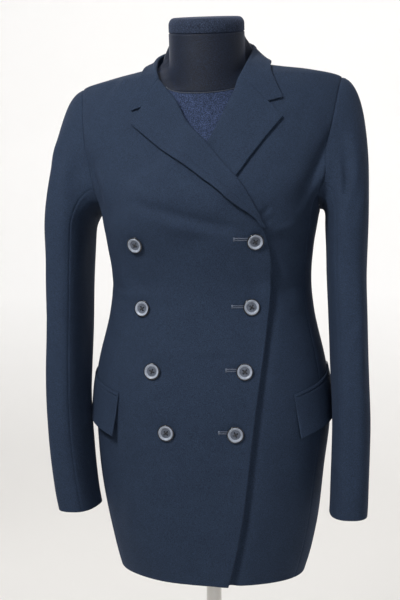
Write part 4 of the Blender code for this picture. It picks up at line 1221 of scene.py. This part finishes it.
def add_flap(side, wool):
    """The slanted flap, which stands off at its foot and bows between its edges."""
    share, t, z = flap_line(FLAP_COLUMNS, side)
    down = np.linspace(0, 1, FLAP_ROWS)[:, None]
    flare = FLAP_FLARE_BACK + (FLAP_FLARE_FRONT - FLAP_FLARE_BACK) * (1 - share) ** 1.5
    bow = FLAP_BOW * np.sin(np.pi * share) * np.sin(np.pi * down)
    close = POCKET_CLOSE * ramp(share, *POCKET_CLOSE_FROM) * (1 - down)
    out = LYING + flare * down**2 + CLOTH + bow - close
    raked = side * (t + math.radians(FLAP_RAKE) * down)
    grid = respaced_both(lying(raked, z - FLAP_DEPTH * down, side, out), FLAP_STEP)
    _, foot, front, back = border_ways(grid)
    near = np.minimum(np.minimum(foot, front), back)
    relief = FLAP_PRESSED * (1 - ramp(near, FLAP_ALLOWANCE - 1.5, FLAP_ALLOWANCE + 1.5))
    name = f"pocket_flap_{SIDE_NAMES[side]}"
    made = shell(f"{name}_cloth", name, grid, grid * [1, 1, 0], (0, 1, 1, 1), wool, relief)


# Tools for the hard pieces.


def deselected():
    bpy.ops.object.select_all(action="DESELECT")


def chosen(made):
    """The object alone is selected and active."""
    deselected()
    made.select_set(True)
    bpy.context.view_layer.objects.active = made


def in_edit(made, mode="FACE"):
    """The object is taken into edit mode with all of it selected."""
    chosen(made)
    bpy.ops.object.mode_set(mode="EDIT")
    bpy.ops.mesh.select_mode(type=mode)
    bpy.ops.mesh.select_all(action="SELECT")


def turned(name, outline, turns):
    """A turned piece: a disc is extruded and resized along an outline of radius and height."""
    radius, height = outline[0]
    deselected()
    bpy.ops.mesh.primitive_circle_add(
        vertices=turns, radius=radius * MM, fill_type="NGON", location=(0, 0, height * MM)
    )
    made = bpy.context.active_object
    made.name = name
    in_edit(made)
    for new_radius, new_height in outline[1:]:
        rise = (0, 0, (new_height - height) * MM)
        bpy.ops.mesh.extrude_region_move(TRANSFORM_OT_translate={"value": rise})
        size = new_radius / radius
        bpy.ops.transform.resize(
            value=(size, size, 1), center_override=(0, 0, new_height * MM), orient_type="GLOBAL"
        )
        radius, height = new_radius, new_height
    bpy.ops.mesh.select_all(action="SELECT")
    bpy.ops.mesh.normals_make_consistent(inside=False)
    bpy.ops.object.mode_set(mode="OBJECT")
    settle(made)
    return made


def settle(made):
    """The object's place goes into its mesh and its origin to the part's."""
    chosen(made)
    bpy.ops.object.transform_apply(location=True, rotation=True, scale=True)


def sharpened(made, degrees):
    """The object is shaded smooth, with edges above the angle kept sharp."""
    chosen(made)
    bpy.ops.object.shade_smooth_by_angle(angle=math.radians(degrees))


def joined(first, *others):
    """The objects as one."""
    chosen(first)
    for made in others:
        made.select_set(True)
    bpy.ops.object.join()
    return first


def rod(start, end, radius, turns=10):
    """A straight rod between two points in millimetres."""
    start, end = Vector(start) * MM, Vector(end) * MM
    along = end - start
    deselected()
    bpy.ops.mesh.primitive_cylinder_add(
        vertices=turns,
        radius=radius * MM,
        depth=along.length,
        location=(start + end) / 2,
        rotation=along.to_track_quat("Z", "Y").to_euler(),
    )
    made = bpy.context.active_object
    settle(made)
    return made


def drilled(made, holes):
    """The holes, which are rods, are cut from the object."""
    tool = joined(*holes)
    cut = made.modifiers.new("Holes", "BOOLEAN")
    cut.operation = "DIFFERENCE"
    cut.solver = "EXACT"
    cut.object = tool
    chosen(made)
    bpy.ops.object.modifier_apply(modifier=cut.name)
    bpy.data.objects.remove(tool)


# Buttons, buttonholes and threads.


def button_body(finishes, places):
    """The turned and drilled body, whose rim, ring and dish have their own finishes."""
    low, high = HOLE_ENDS
    body = turned("button_model", BUTTON_BODY, BUTTON_TURNS)
    drilled(body, [rod((x, y, low), (x, y, high), HOLE_RADIUS, 20) for x, y in places])
    for _, name in BUTTON_RINGS:
        body.data.materials.append(finishes[name])
    for face in body.data.polygons:
        reach = max(math.hypot(*body.data.vertices[i].co[:2]) for i in face.vertices) / MM
        inner = [number for number, (radius, _) in enumerate(BUTTON_RINGS) if reach > radius]
        face.material_index = inner[0] if face.center.z > BUTTON_BACK * MM else 0
    sharpened(body, 38)
    return body


def button_threads(places, thread):
    """The wound shank, and two crossed pairs of holes with three strands over each."""
    strands = [rod((0, 0, SHANK[0]), (0, 0, SHANK[1]), SHANK_RADIUS, 16)]
    top = BUTTON_BODY[-1][1]
    for one in (0, 1):
        (x1, y1), (x2, y2) = places[one], places[one + 2]
        across = Vector((y2 - y1, x1 - x2, 0)).normalized() * THREAD * THREAD_APART
        for number in (-1, 0, 1):
            start = Vector((x1, y1, top - THREAD_SUNK)) + across * number
            end = Vector((x2, y2, top - THREAD_SUNK)) + across * number
            near, far = start * 0.84 + end * 0.16, start * 0.16 + end * 0.84
            near.z = far.z = top + THREAD_UP + THREAD_OVER * one
            way = (start, near, far, end)
            strands += [rod(first, last, THREAD, 8) for first, last in zip(way, way[1:])]
    threads = joined(*strands)
    threads.data.materials.clear()
    threads.data.materials.append(thread)
    sharpened(threads, 40)
    return threads


def model_button(finishes, thread):
    """One button on its shank in the XY plane."""
    corners = [math.radians(45 + 90 * quarter) for quarter in range(4)]
    places = [(HOLE_REACH * math.cos(a), HOLE_REACH * math.sin(a)) for a in corners]
    return joined(button_body(finishes, places), button_threads(places, thread))


def on_right_front(x, z, out):
    """A point at a distance out above the creased cloth of the right front."""
    t = front_angle(np.array(float(x)), z)
    height = np.array(float(z))
    return Vector(creased(t, height, RIGHT) + normal(t, height) * out)


def button_frame(x, z, lean, sink, twist):
    """Where a button sits on the right front, leaned and turned about its shank."""
    t, height = front_angle(np.array(float(x)), z), np.array(float(z))
    out = Vector(lifted_skin(t, height, RIGHT, 1.0) - lifted_skin(t, height, RIGHT))
    out = (out + Vector((lean, 0, -sink))).normalized()
    turn = out.to_track_quat("Z", "Y").to_matrix().to_4x4()
    spin = Matrix.Rotation(math.radians(twist), 4, "Z")
    return Matrix.Translation(on_right_front(x, z, BUTTON_RAISE) * MM) @ turn @ spin


def add_buttons(finishes, thread):
    model = model_button(finishes, thread)
    for side in (RIGHT, LEFT):
        for number, (place, leans) in enumerate(zip(BUTTONS[side], BUTTON_LEANS[side]), 1):
            name = f"button_{SIDE_NAMES[side]}_{number}"
            made = bpy.data.objects.new(f"{name}_turned", model.data.copy())
            made.data.transform(button_frame(*place, *leans))
            bpy.context.collection.objects.link(made)
            declare(made, name)
    bpy.data.objects.remove(model)


def add_strand(bm, points, radius, turns=6):
    """A thread along the points, in millimetres, closed at both ends."""
    points = [Vector(p) for p in points]
    rings = []
    for i, point in enumerate(points):
        along = (points[min(i + 1, len(points) - 1)] - points[max(i - 1, 0)]).normalized()
        across = along.orthogonal().normalized()
        above = along.cross(across)
        ring = []
        for step in range(turns):
            a = 2 * math.pi * step / turns
            place = point + (across * math.cos(a) + above * math.sin(a)) * radius
            ring.append(bm.verts.new(place * MM))
        rings.append(ring)
    for low, high in zip(rings, rings[1:]):
        offset = min(range(turns), key=lambda k: (low[0].co - high[k].co).length)
        high[:] = high[offset:] + high[:offset]
        for a, b, c, d in zip(low, low[1:] + low[:1], high[1:] + high[:1], high):
            bm.faces.new((a, b, c, d))
    bm.faces.new(rings[0][::-1])
    bm.faces.new(rings[-1])


def stranded(name, strands):
    """A mesh of threads, each with its points and its radius in millimetres."""
    bm = bmesh.new()
    for points, radius in strands:
        add_strand(bm, points, radius)
    mesh = bpy.data.meshes.new(name)
    bm.to_mesh(mesh)
    bm.free()
    mesh.shade_smooth()
    return mesh


def add_buttonholes(thread):
    """Worked buttonholes: two stitched lips with a bar tack at one end."""
    strands = []
    for start, z in BUTTONHOLES:
        for edge in (1, -1):
            for x in start + np.linspace(0, BUTTONHOLE_LENGTH, LIP_STITCHES):
                path = [(x + LIP_LEAN * edge * up, z + edge * up, out) for up, out in LIP_STITCH]
                strands.append(([on_right_front(*place) for place in path], LIP_THREAD))
        for number in range(TACK_STITCHES):
            x = start - TACK_AWAY - TACK_STEP * number
            path = [on_right_front(x, z + up, out) for up, out in TACK_STITCH]
            strands.append((path, TACK_THREAD))
    finish_piece("buttonholes", None, stranded("buttonholes", strands), thread)


# The form and its stand.


def ease_at(t, z):
    """Distance from the cloth's inside to the form, more at the front than on the shoulder."""
    front, side = read(FORM_EASE, z, 1), read(FORM_EASE, z, 2)
    return side + (front - side) * ramp(np.abs(np.cos(t)), 0.3, 0.8)


def form_skin(t, z):
    """The cloth's shape less its ease, with flat ends at the arms."""
    z = np.full(t.shape, float(z))
    points = base(t, z) - normal(t, z) * (CLOTH + ease_at(t, z))[..., None]
    points[:, 0] = np.clip(points[:, 0], -ARM_PLATE, ARM_PLATE)
    return points


def neck_middle(z):
    return np.array([0, NECK_Y - NECK_LEAN * (z - GORGE), 0])


def neck_size(aside):
    """Distance from the neck's middle, in shares of its half width and depth."""
    return np.hypot(aside[:, 0] / NECK_HALF_WIDTH, aside[:, 1] / NECK_HALF_DEPTH)


def form_ring(z):
    """One row of the form, even in angle round the neck, with a corner kept at the side."""
    dense = np.linspace(0, np.pi, 361)
    aside = form_skin(dense, z) - neck_middle(z)
    around = np.arctan2(np.abs(aside[:, 0]), -aside[:, 1])
    ridge = around[len(dense) // 2]
    quarter = FORM_STEPS // 4 + 1
    to_ridge, to_back = np.linspace(0, ridge, quarter), np.linspace(ridge, np.pi, quarter)
    wanted = np.concatenate([to_ridge, to_back[1:]])
    t = np.interp(wanted, around, dense)
    points = form_skin(np.concatenate([t, -t[-2:0:-1]]), z)
    aside = (points - neck_middle(z)) * [1, 1, 0]
    grown = (1 + neck_size(aside) ** -NECK_BLEND) ** (1 / NECK_BLEND)
    return neck_middle(z) + aside * grown[:, None] + points * [0, 0, 1]


def neck_ring(z, share, below):
    """A row of the neck, at the angles of the row below it."""
    aside = (below - neck_middle(z)) * [1, 1, 0]
    round_neck = aside * (share / neck_size(aside))[:, None]
    return neck_middle(z) + round_neck + np.array([0, 0, float(z)])


def closed_rings(name, rings):
    """A closed mesh through rings of points, in millimetres."""
    count = len(rings[0])
    points = np.concatenate(rings) * MM
    faces = [tuple(range(count))[::-1]]
    for row in range(len(rings) - 1):
        for i in range(count):
            j = (i + 1) % count
            low, high = row * count, (row + 1) * count
            faces.append((low + i, low + j, high + j, high + i))
    faces.append(tuple(range((len(rings) - 1) * count, len(rings) * count)))
    mesh = bpy.data.meshes.new(name)
    mesh.from_pydata(points.tolist(), [], faces)
    face_outwards(mesh)
    return mesh


def scaled_ring(ring, share, z):
    """A ring drawn in towards its middle, at height z."""
    middle = ring.mean(0)
    drawn = middle + (ring - middle) * share
    drawn[:, 2] = z
    return drawn


def leaned(points):
    """The neck's rows sink at the front and rise at the back, and more so towards its top."""
    z = points[:, 2]
    x, y = points[:, 0], points[:, 1] - NECK_Y + NECK_LEAN * (z - GORGE)
    share = ramp(z, TOP_LEAN_FROM, NECK_TOP) * (1 - ramp(np.hypot(x, y), *TOP_LEAN_REACH))
    lift = (y * TOP_LEAN - x * TOP_LEAN_SIDE + TOP_LEAN_RISE) * share
    return points + lift[:, None] * [0, 0, 1]


def front_seam_height(x):
    return SEAM_LINE + SEAM_LINE_RISE * (x / SEAM_LINE_SPAN) ** 2


def seam_height(points):
    """Height of the seam that sets the neck on, at each point round it."""
    return np.where(points[:, 1] > NECK_Y, SEAM_LINE_BACK, front_seam_height(points[:, 0]))


def grooved(ring):
    """A ring let in where it meets the seam that sets the neck on."""
    deep = SEAM_GROOVE * bell(ring[:, 2] - seam_height(ring), SEAM_GROOVE_WIDTH)
    aside = unit((ring - neck_middle(float(ring[0, 2]))) * [1, 1, 0])
    near = np.hypot(ring[:, 0], ring[:, 1] - NECK_Y) < SEAM_GROOVE_REACH
    return ring - aside * (deep * near)[:, None]


def add_neck_seam(rings, cord):
    """A fine cord in the groove of the seam that sets the neck on."""
    heights = np.array([ring[0, 2] for ring in rings])
    rings = np.array(rings)
    points = []
    for column in range(rings.shape[1]):
        line = rings[:, column]
        x = line[np.argmin(np.abs(heights - SEAM_LINE)), 0]
        if line[0, 1] > 0 or abs(x) > SEAM_CORD_REACH:
            continue
        z = front_seam_height(x)
        points.append([np.interp(z, heights, line[:, axis]) for axis in (0, 1, 2)])
    points.sort()
    mesh = stranded("neck_seam", [(points, SEAM_CORD)])
    finish_piece("neck_seam_cord", None, mesh, cord)


def torso_rings():
    """Rings from the form's foot to its neck, close together where the seam crosses them."""
    low = np.arange(FORM_FLOOR + 4, FORM_BEND[0], FORM_ROW)
    seam = np.arange(*FORM_BEND, FORM_SEAM_ROW)
    high = np.arange(FORM_BEND[1], NECK_FOOT, FORM_NECK_ROW)
    return [form_ring(z) for z in (*low, *seam, *high, NECK_FOOT)]


def neck_rings(top):
    """Rings above them, which ease into the neck's oval and end in its rounded rim."""
    over = neck_size(top - neck_middle(NECK_FOOT)) - 1
    rings = []
    for z in np.arange(NECK_FOOT + 2, NECK_TOP - 1.5, NECK_ROW):
        left = 1 - (z - NECK_FOOT) / (NECK_TOP - NECK_FOOT)
        rings.append(neck_ring(z, 1 + over * left**2, top))
    return rings + [neck_ring(NECK_TOP - drop, share, top) for drop, share in RIM_ROWS]


def add_cap(top, jersey):
    """The cap lies a seam above the neck, and its edge and its crown are rounded."""
    foot, height = NECK_TOP + SEAM, CAP_TOP - NECK_TOP - SEAM
    rings = [neck_ring(foot + rise, share, top) for rise, share in CAP_FOOT_ROWS]
    for turn in np.radians(np.arange(0, 91, 6)):
        share = 1 - CAP_ROUND + CAP_ROUND * math.cos(turn)
        rise = height * (CAP_RIM + (1 - CAP_RIM) * math.sin(turn))
        rings.append(neck_ring(foot + rise, share, top))
    mesh = closed_rings("cap", [leaned(ring) for ring in rings])
    made = finish_piece("form_neck_cap_cover", "form_neck_cap", mesh, jersey)
    sharpened(made, 40)


def add_form(jersey, neck_jersey_with_painted_shade, cap_jersey, cord):
    rings = torso_rings()
    top = rings[-1]
    rings += neck_rings(top)
    under = [scaled_ring(rings[0], share, FORM_FLOOR + rise) for share, rise in UNDER_ROWS]
    mesh = closed_rings("form", under + [leaned(grooved(ring)) for ring in rings])
    made = finish_piece("form_torso_cover", "form_torso", mesh, jersey)
    # Faces above the neck seam take a darker jersey: painted shade for the neck's upright sides.
    mesh.materials.append(neck_jersey_with_painted_shade)
    above = [np.zeros(FORM_STEPS * len(under), bool)]
    above = np.concatenate(above + [ring[:, 2] > seam_height(ring) for ring in rings])
    for face in mesh.polygons:
        face.material_index = int(all(above[i] for i in face.vertices))
    sharpened(made, 40)
    add_neck_seam(rings, cord)
    add_cap(top, cap_jersey)


def add_stand(chrome):
    base_piece = turned("stand_base_turned", BASE_OUTLINE, BASE_TURNS)
    base_piece.data.materials.append(chrome)
    sharpened(base_piece, 50)
    declare(base_piece, "stand_base")
    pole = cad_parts["stand_pole"]
    pole.data.materials.clear()
    pole.data.materials.append(chrome)
    sharpened(pole, 40)


# Materials.


def colour(code, factor=1.0):
    """Linear colour of an sRGB code such as #808080, made lighter or darker by a factor."""
    parts = [int(code[i : i + 2], 16) / 255 for i in (1, 3, 5)]
    linear = [c / 12.92 if c <= 0.04045 else ((c + 0.055) / 1.055) ** 2.4 for c in parts]
    return (*(min(1.0, c * factor) for c in linear), 1.0)


def add_node(tree, kind, links=None, **values):
    """A node of a kind, with values for its settings and sockets and the outputs it reads."""
    made = tree.nodes.new(kind)
    for name, value in values.items():
        if hasattr(made, name):
            setattr(made, name, value)
        else:
            made.inputs[name.replace("_", " ")].default_value = value
    for name, output in (links or {}).items():
        tree.links.new(output, made.inputs[name])
    return made


def new_material(name, **values):
    """A material, its node tree and its shader, with constants for the shader's sockets."""
    material = bpy.data.materials.new(name)
    material.use_nodes = True
    tree = material.node_tree
    shader = tree.nodes["Principled BSDF"]
    for socket, value in values.items():
        shader.inputs[socket.replace("_", " ")].default_value = value
    return material, tree, shader


def speckle(tree, size, low, high, detail=2.0, first=0.38, last=0.62):
    """Grains of a size in millimetres: the blend of two colours over them, and their height."""
    source = add_node(tree, "ShaderNodeTexCoord")
    links = {"Vector": source.outputs["Object"]}
    sized = add_node(tree, "ShaderNodeMapping", links, Scale=(1 / size / MM,) * 3)
    links = {"Vector": sized.outputs["Vector"]}
    noise = add_node(tree, "ShaderNodeTexNoise", links, Scale=1.0, Detail=detail, Roughness=0.6)
    blend = add_node(tree, "ShaderNodeValToRGB", {"Fac": noise.outputs["Fac"]})
    for stop, place, tint in zip(blend.color_ramp.elements, (first, last), (low, high)):
        stop.position = place
        stop.color = tint
    return blend.outputs["Color"], noise.outputs["Fac"]


def slanted_yarns(tree):
    """Height of uneven yarns that run slantwise over each cut piece."""
    source = add_node(tree, "ShaderNodeTexCoord")
    links = {"Vector": source.outputs["UV"]}
    sized = add_node(tree, "ShaderNodeMapping", links, Scale=(1 / MM,) * 3)
    yarns = add_node(
        tree,
        "ShaderNodeTexWave",
        {"Vector": sized.outputs["Vector"]},
        wave_type="BANDS",
        bands_direction="DIAGONAL",
        Scale=BANDS_APART / YARN_SPACING,
        Distortion=3.0,
        Detail=2.0,
    )
    return yarns.outputs["Fac"]


def wool_crepe():
    """Worsted wool crepe: high-twist yarns give a dry, pebbled and matt face.

    Fibre ends that stand up from the yarns catch light at grazing angles, a faint bluish sheen at
    its edges. Its colour is a little paler and bluer on the crests of its grains than in their
    hollows, as painted highlight and painted shade.
    """
    material, tree, shader = new_material(
        "Wool crepe",
        Roughness=0.88,
        Specular_IOR_Level=0.16,
        Sheen_Weight=0.06,
        Sheen_Roughness=0.4,
        Sheen_Tint=colour("#8fa6d8"),
    )
    # One noise gives the grains both their height and their colour: crests painted paler as
    # highlight, hollows painted darker as shade.
    grain, fine = speckle(tree, CREPE_GRAIN, colour(WOOL[0]), colour(WOOL[1]))
    pale = colour("#f2f2f4"), colour("#ffffff")
    patches, _ = speckle(tree, CREPE_PATCH, *pale, detail=3.0, first=0.3, last=0.7)
    mix = add_node(tree, "ShaderNodeMix", data_type="RGBA", blend_type="MULTIPLY", Factor=1.0)
    tree.links.new(grain, mix.inputs["A"])
    tree.links.new(patches, mix.inputs["B"])
    tree.links.new(mix.outputs["Result"], shader.inputs["Base Color"])
    links = {"Height": slanted_yarns(tree)}
    ribs = add_node(tree, "ShaderNodeBump", links, Strength=0.7, Distance=0.06 * MM)
    links = {"Height": fine, "Normal": ribs.outputs["Normal"]}
    pebbles = add_node(tree, "ShaderNodeBump", links, Strength=0.9, Distance=0.25 * MM)
    tree.links.new(pebbles.outputs["Normal"], shader.inputs["Normal"])
    return material


def jersey_material(name, ground, light, roughness=0.9, gloss=0.2):
    """Knitted cotton jersey with pale fibres in its yarn, stretched over foam: matt, speckled."""
    material, tree, shader = new_material(
        name,
        Roughness=roughness,
        Specular_IOR_Level=gloss,
        Sheen_Weight=0.15,
        Sheen_Tint=colour("#8f9fc8"),
    )
    tones = colour(ground), colour(light)
    grain, fine = speckle(tree, JERSEY_GRAIN, *tones, detail=3.0, first=0.42, last=0.72)
    tree.links.new(grain, shader.inputs["Base Color"])
    stitches = add_node(tree, "ShaderNodeBump", {"Height": fine}, Strength=0.4, Distance=0.15 * MM)
    tree.links.new(stitches.outputs["Normal"], shader.inputs["Normal"])
    return material


def chrome_material():
    """Chrome plating: a mirror with faint polishing marks."""
    material, tree, shader = new_material(
        "Chrome plating", Base_Color=colour("#d5d3cf"), Metallic=1.0
    )
    _, marks = speckle(tree, POLISH_MARK, colour("#000000"), colour("#ffffff"), detail=3.0)
    spread = add_node(tree, "ShaderNodeMapRange", {"Value": marks}, To_Min=0.07, To_Max=0.16)
    tree.links.new(spread.outputs["Result"], shader.inputs["Roughness"])
    return material


def polyester(name, code, roughness, coat=0.0):
    """Cast polyester button: a hard, cloudy plastic, polished or tumbled to a satin."""
    material, tree, shader = new_material(
        name, Roughness=roughness, Coat_Weight=coat, Coat_Roughness=0.08
    )
    cloud, _ = speckle(tree, CLOUD, colour(code), colour(code, 1.35))
    tree.links.new(cloud, shader.inputs["Base Color"])
    return material


def thread_material(name, code):
    """Spun polyester thread: soft with a faint gloss along its twist."""
    material, tree, shader = new_material(name, Roughness=0.6, Sheen_Weight=0.2)
    grain, twist = speckle(tree, TWIST, colour(code, 0.7), colour(code), detail=1.0)
    tree.links.new(grain, shader.inputs["Base Color"])
    bump = add_node(tree, "ShaderNodeBump", {"Height": twist}, Strength=0.5, Distance=0.05 * MM)
    tree.links.new(bump.outputs["Normal"], shader.inputs["Normal"])
    return material


def painted_wall():
    """Rolled emulsion: an even, matt white, a little greyer at the floor and high up."""
    material, tree, shader = new_material(
        "Matt wall paint", Roughness=0.95, Specular_IOR_Level=0.1
    )
    low, high = WALL_HEIGHTS
    source = add_node(tree, "ShaderNodeTexCoord")
    split = add_node(tree, "ShaderNodeSeparateXYZ", {"Vector": source.outputs["Object"]})
    links = {"Value": split.outputs["Z"]}
    spread = add_node(tree, "ShaderNodeMapRange", links, From_Min=low * MM, From_Max=high * MM)
    blend = add_node(tree, "ShaderNodeValToRGB", {"Fac": spread.outputs["Result"]})
    stops = blend.color_ramp.elements
    stops[0].color = colour(WALL_COLOURS[0])
    stops[1].color = colour(WALL_COLOURS[-1])
    for share, code in zip(np.linspace(0, 1, len(WALL_COLOURS))[1:-1], WALL_COLOURS[1:-1]):
        stops.new(share).color = colour(code)
    tree.links.new(blend.outputs["Color"], shader.inputs["Base Color"])
    return material


# Room, lights and camera.


def add_room():
    deselected()
    bpy.ops.mesh.primitive_cylinder_add(
        vertices=96,
        radius=ROOM_RADIUS,
        depth=ROOM_HEIGHT,
        end_fill_type="NGON",
        location=(0, 0, ROOM_HEIGHT / 2 + ROOM_FLOOR * MM),
    )
    room = bpy.context.active_object
    room.name = "Studio room"
    settle(room)
    in_edit(room)
    bpy.ops.mesh.select_all(action="DESELECT")
    bpy.ops.object.mode_set(mode="OBJECT")
    for face in room.data.polygons:
        face.select = len(face.vertices) > 4 and face.center.z > ROOM_HEIGHT / 2
    bpy.ops.object.mode_set(mode="EDIT")
    bpy.ops.mesh.delete(type="FACE")
    bpy.ops.mesh.select_mode(type="EDGE")
    bpy.ops.object.mode_set(mode="OBJECT")
    heights = [corner.co.z - ROOM_FLOOR * MM for corner in room.data.vertices]
    for edge in room.data.edges:
        edge.select = all(abs(heights[i]) < 1e-4 for i in edge.vertices)
    bpy.ops.object.mode_set(mode="EDIT")
    bpy.ops.mesh.bevel(offset=ROOM_BEND, segments=24, profile=0.5, affect="EDGES")
    bpy.ops.mesh.select_all(action="SELECT")
    bpy.ops.mesh.normals_make_consistent(inside=True)
    bpy.ops.object.mode_set(mode="OBJECT")
    sharpened(room, 60)
    room.data.materials.append(painted_wall())


def add_lights():
    for name, place, aim, size, power, code in LIGHTS:
        lamp = bpy.data.lights.new(name, "AREA")
        lamp.shape = "RECTANGLE"
        lamp.size, lamp.size_y = size
        lamp.energy = power
        lamp.color = colour(code)[:3]
        made = bpy.data.objects.new(name, lamp)
        bpy.context.collection.objects.link(made)
        made.location = place
        away = Vector(place) - Vector(aim)
        made.rotation_euler = away.to_track_quat("Z", "Y").to_euler()


def add_camera():
    camera = bpy.data.cameras.new("Camera")
    camera.sensor_width = CAMERA_SENSOR
    camera.lens = CAMERA_LENS
    made = bpy.data.objects.new("Camera", camera)
    bpy.context.collection.objects.link(made)
    bpy.context.scene.camera = made
    azimuth = math.radians(CAMERA_AZIMUTH)
    back = Vector((math.sin(azimuth), -math.cos(azimuth), 0))
    right = Vector((math.cos(azimuth), math.sin(azimuth), 0))
    up = Vector((0, 0, 1))
    eye = back * CAMERA_DISTANCE - right * CAMERA_ASIDE + up * CAMERA_HEIGHT
    turn = Matrix((right, up, back)).transposed().to_4x4()
    roll = Matrix.Rotation(math.radians(CAMERA_ROLL), 4, "Z")
    made.matrix_world = Matrix.Translation(eye * MM) @ turn @ roll


def set_world():
    world = bpy.data.worlds.new("Studio air")
    bpy.context.scene.world = world
    world.use_nodes = True
    background = world.node_tree.nodes["Background"]
    background.inputs["Color"].default_value = colour("#f4f4f4")
    background.inputs["Strength"].default_value = WORLD_STRENGTH
    bpy.context.scene.view_settings.view_transform = "Standard"


# The whole.


def main():
    wool = wool_crepe()
    add_fronts(wool)
    add_side_bodies(wool)
    add_backs(wool)
    add_sleeves(wool)
    add_lapels(wool)
    add_collar(wool)
    add_pockets(wool)
    finishes = {
        "rim": polyester("Polished polyester", BUTTON_COLOURS[0], 0.12, 0.6),
        "ring": polyester("Satin polyester", BUTTON_COLOURS[1], 0.38),
        "dish": polyester("Tumbled polyester", BUTTON_COLOURS[2], 0.5),
    }
    add_buttons(finishes, thread_material("Button thread", "#17191f"))
    add_buttonholes(thread_material("Buttonhole twist", "#5c6679"))
    add_form(
        jersey_material("Cotton jersey", "#161f31", "#465578"),
        # The neck's jersey is darker than the one below it as painted shade, since its upright
        # sides get less light.
        jersey_material("Tight smooth jersey with painted shade", "#090d16", "#1a263c", 0.65, 0.22),
        jersey_material("Jersey of the cap", "#141a26", "#39455c"),
        thread_material("Seam cord", "#363f4d"),
    )
    add_stand(chrome_material())
    add_room()
    add_lights()
    add_camera()
    set_world()


main()
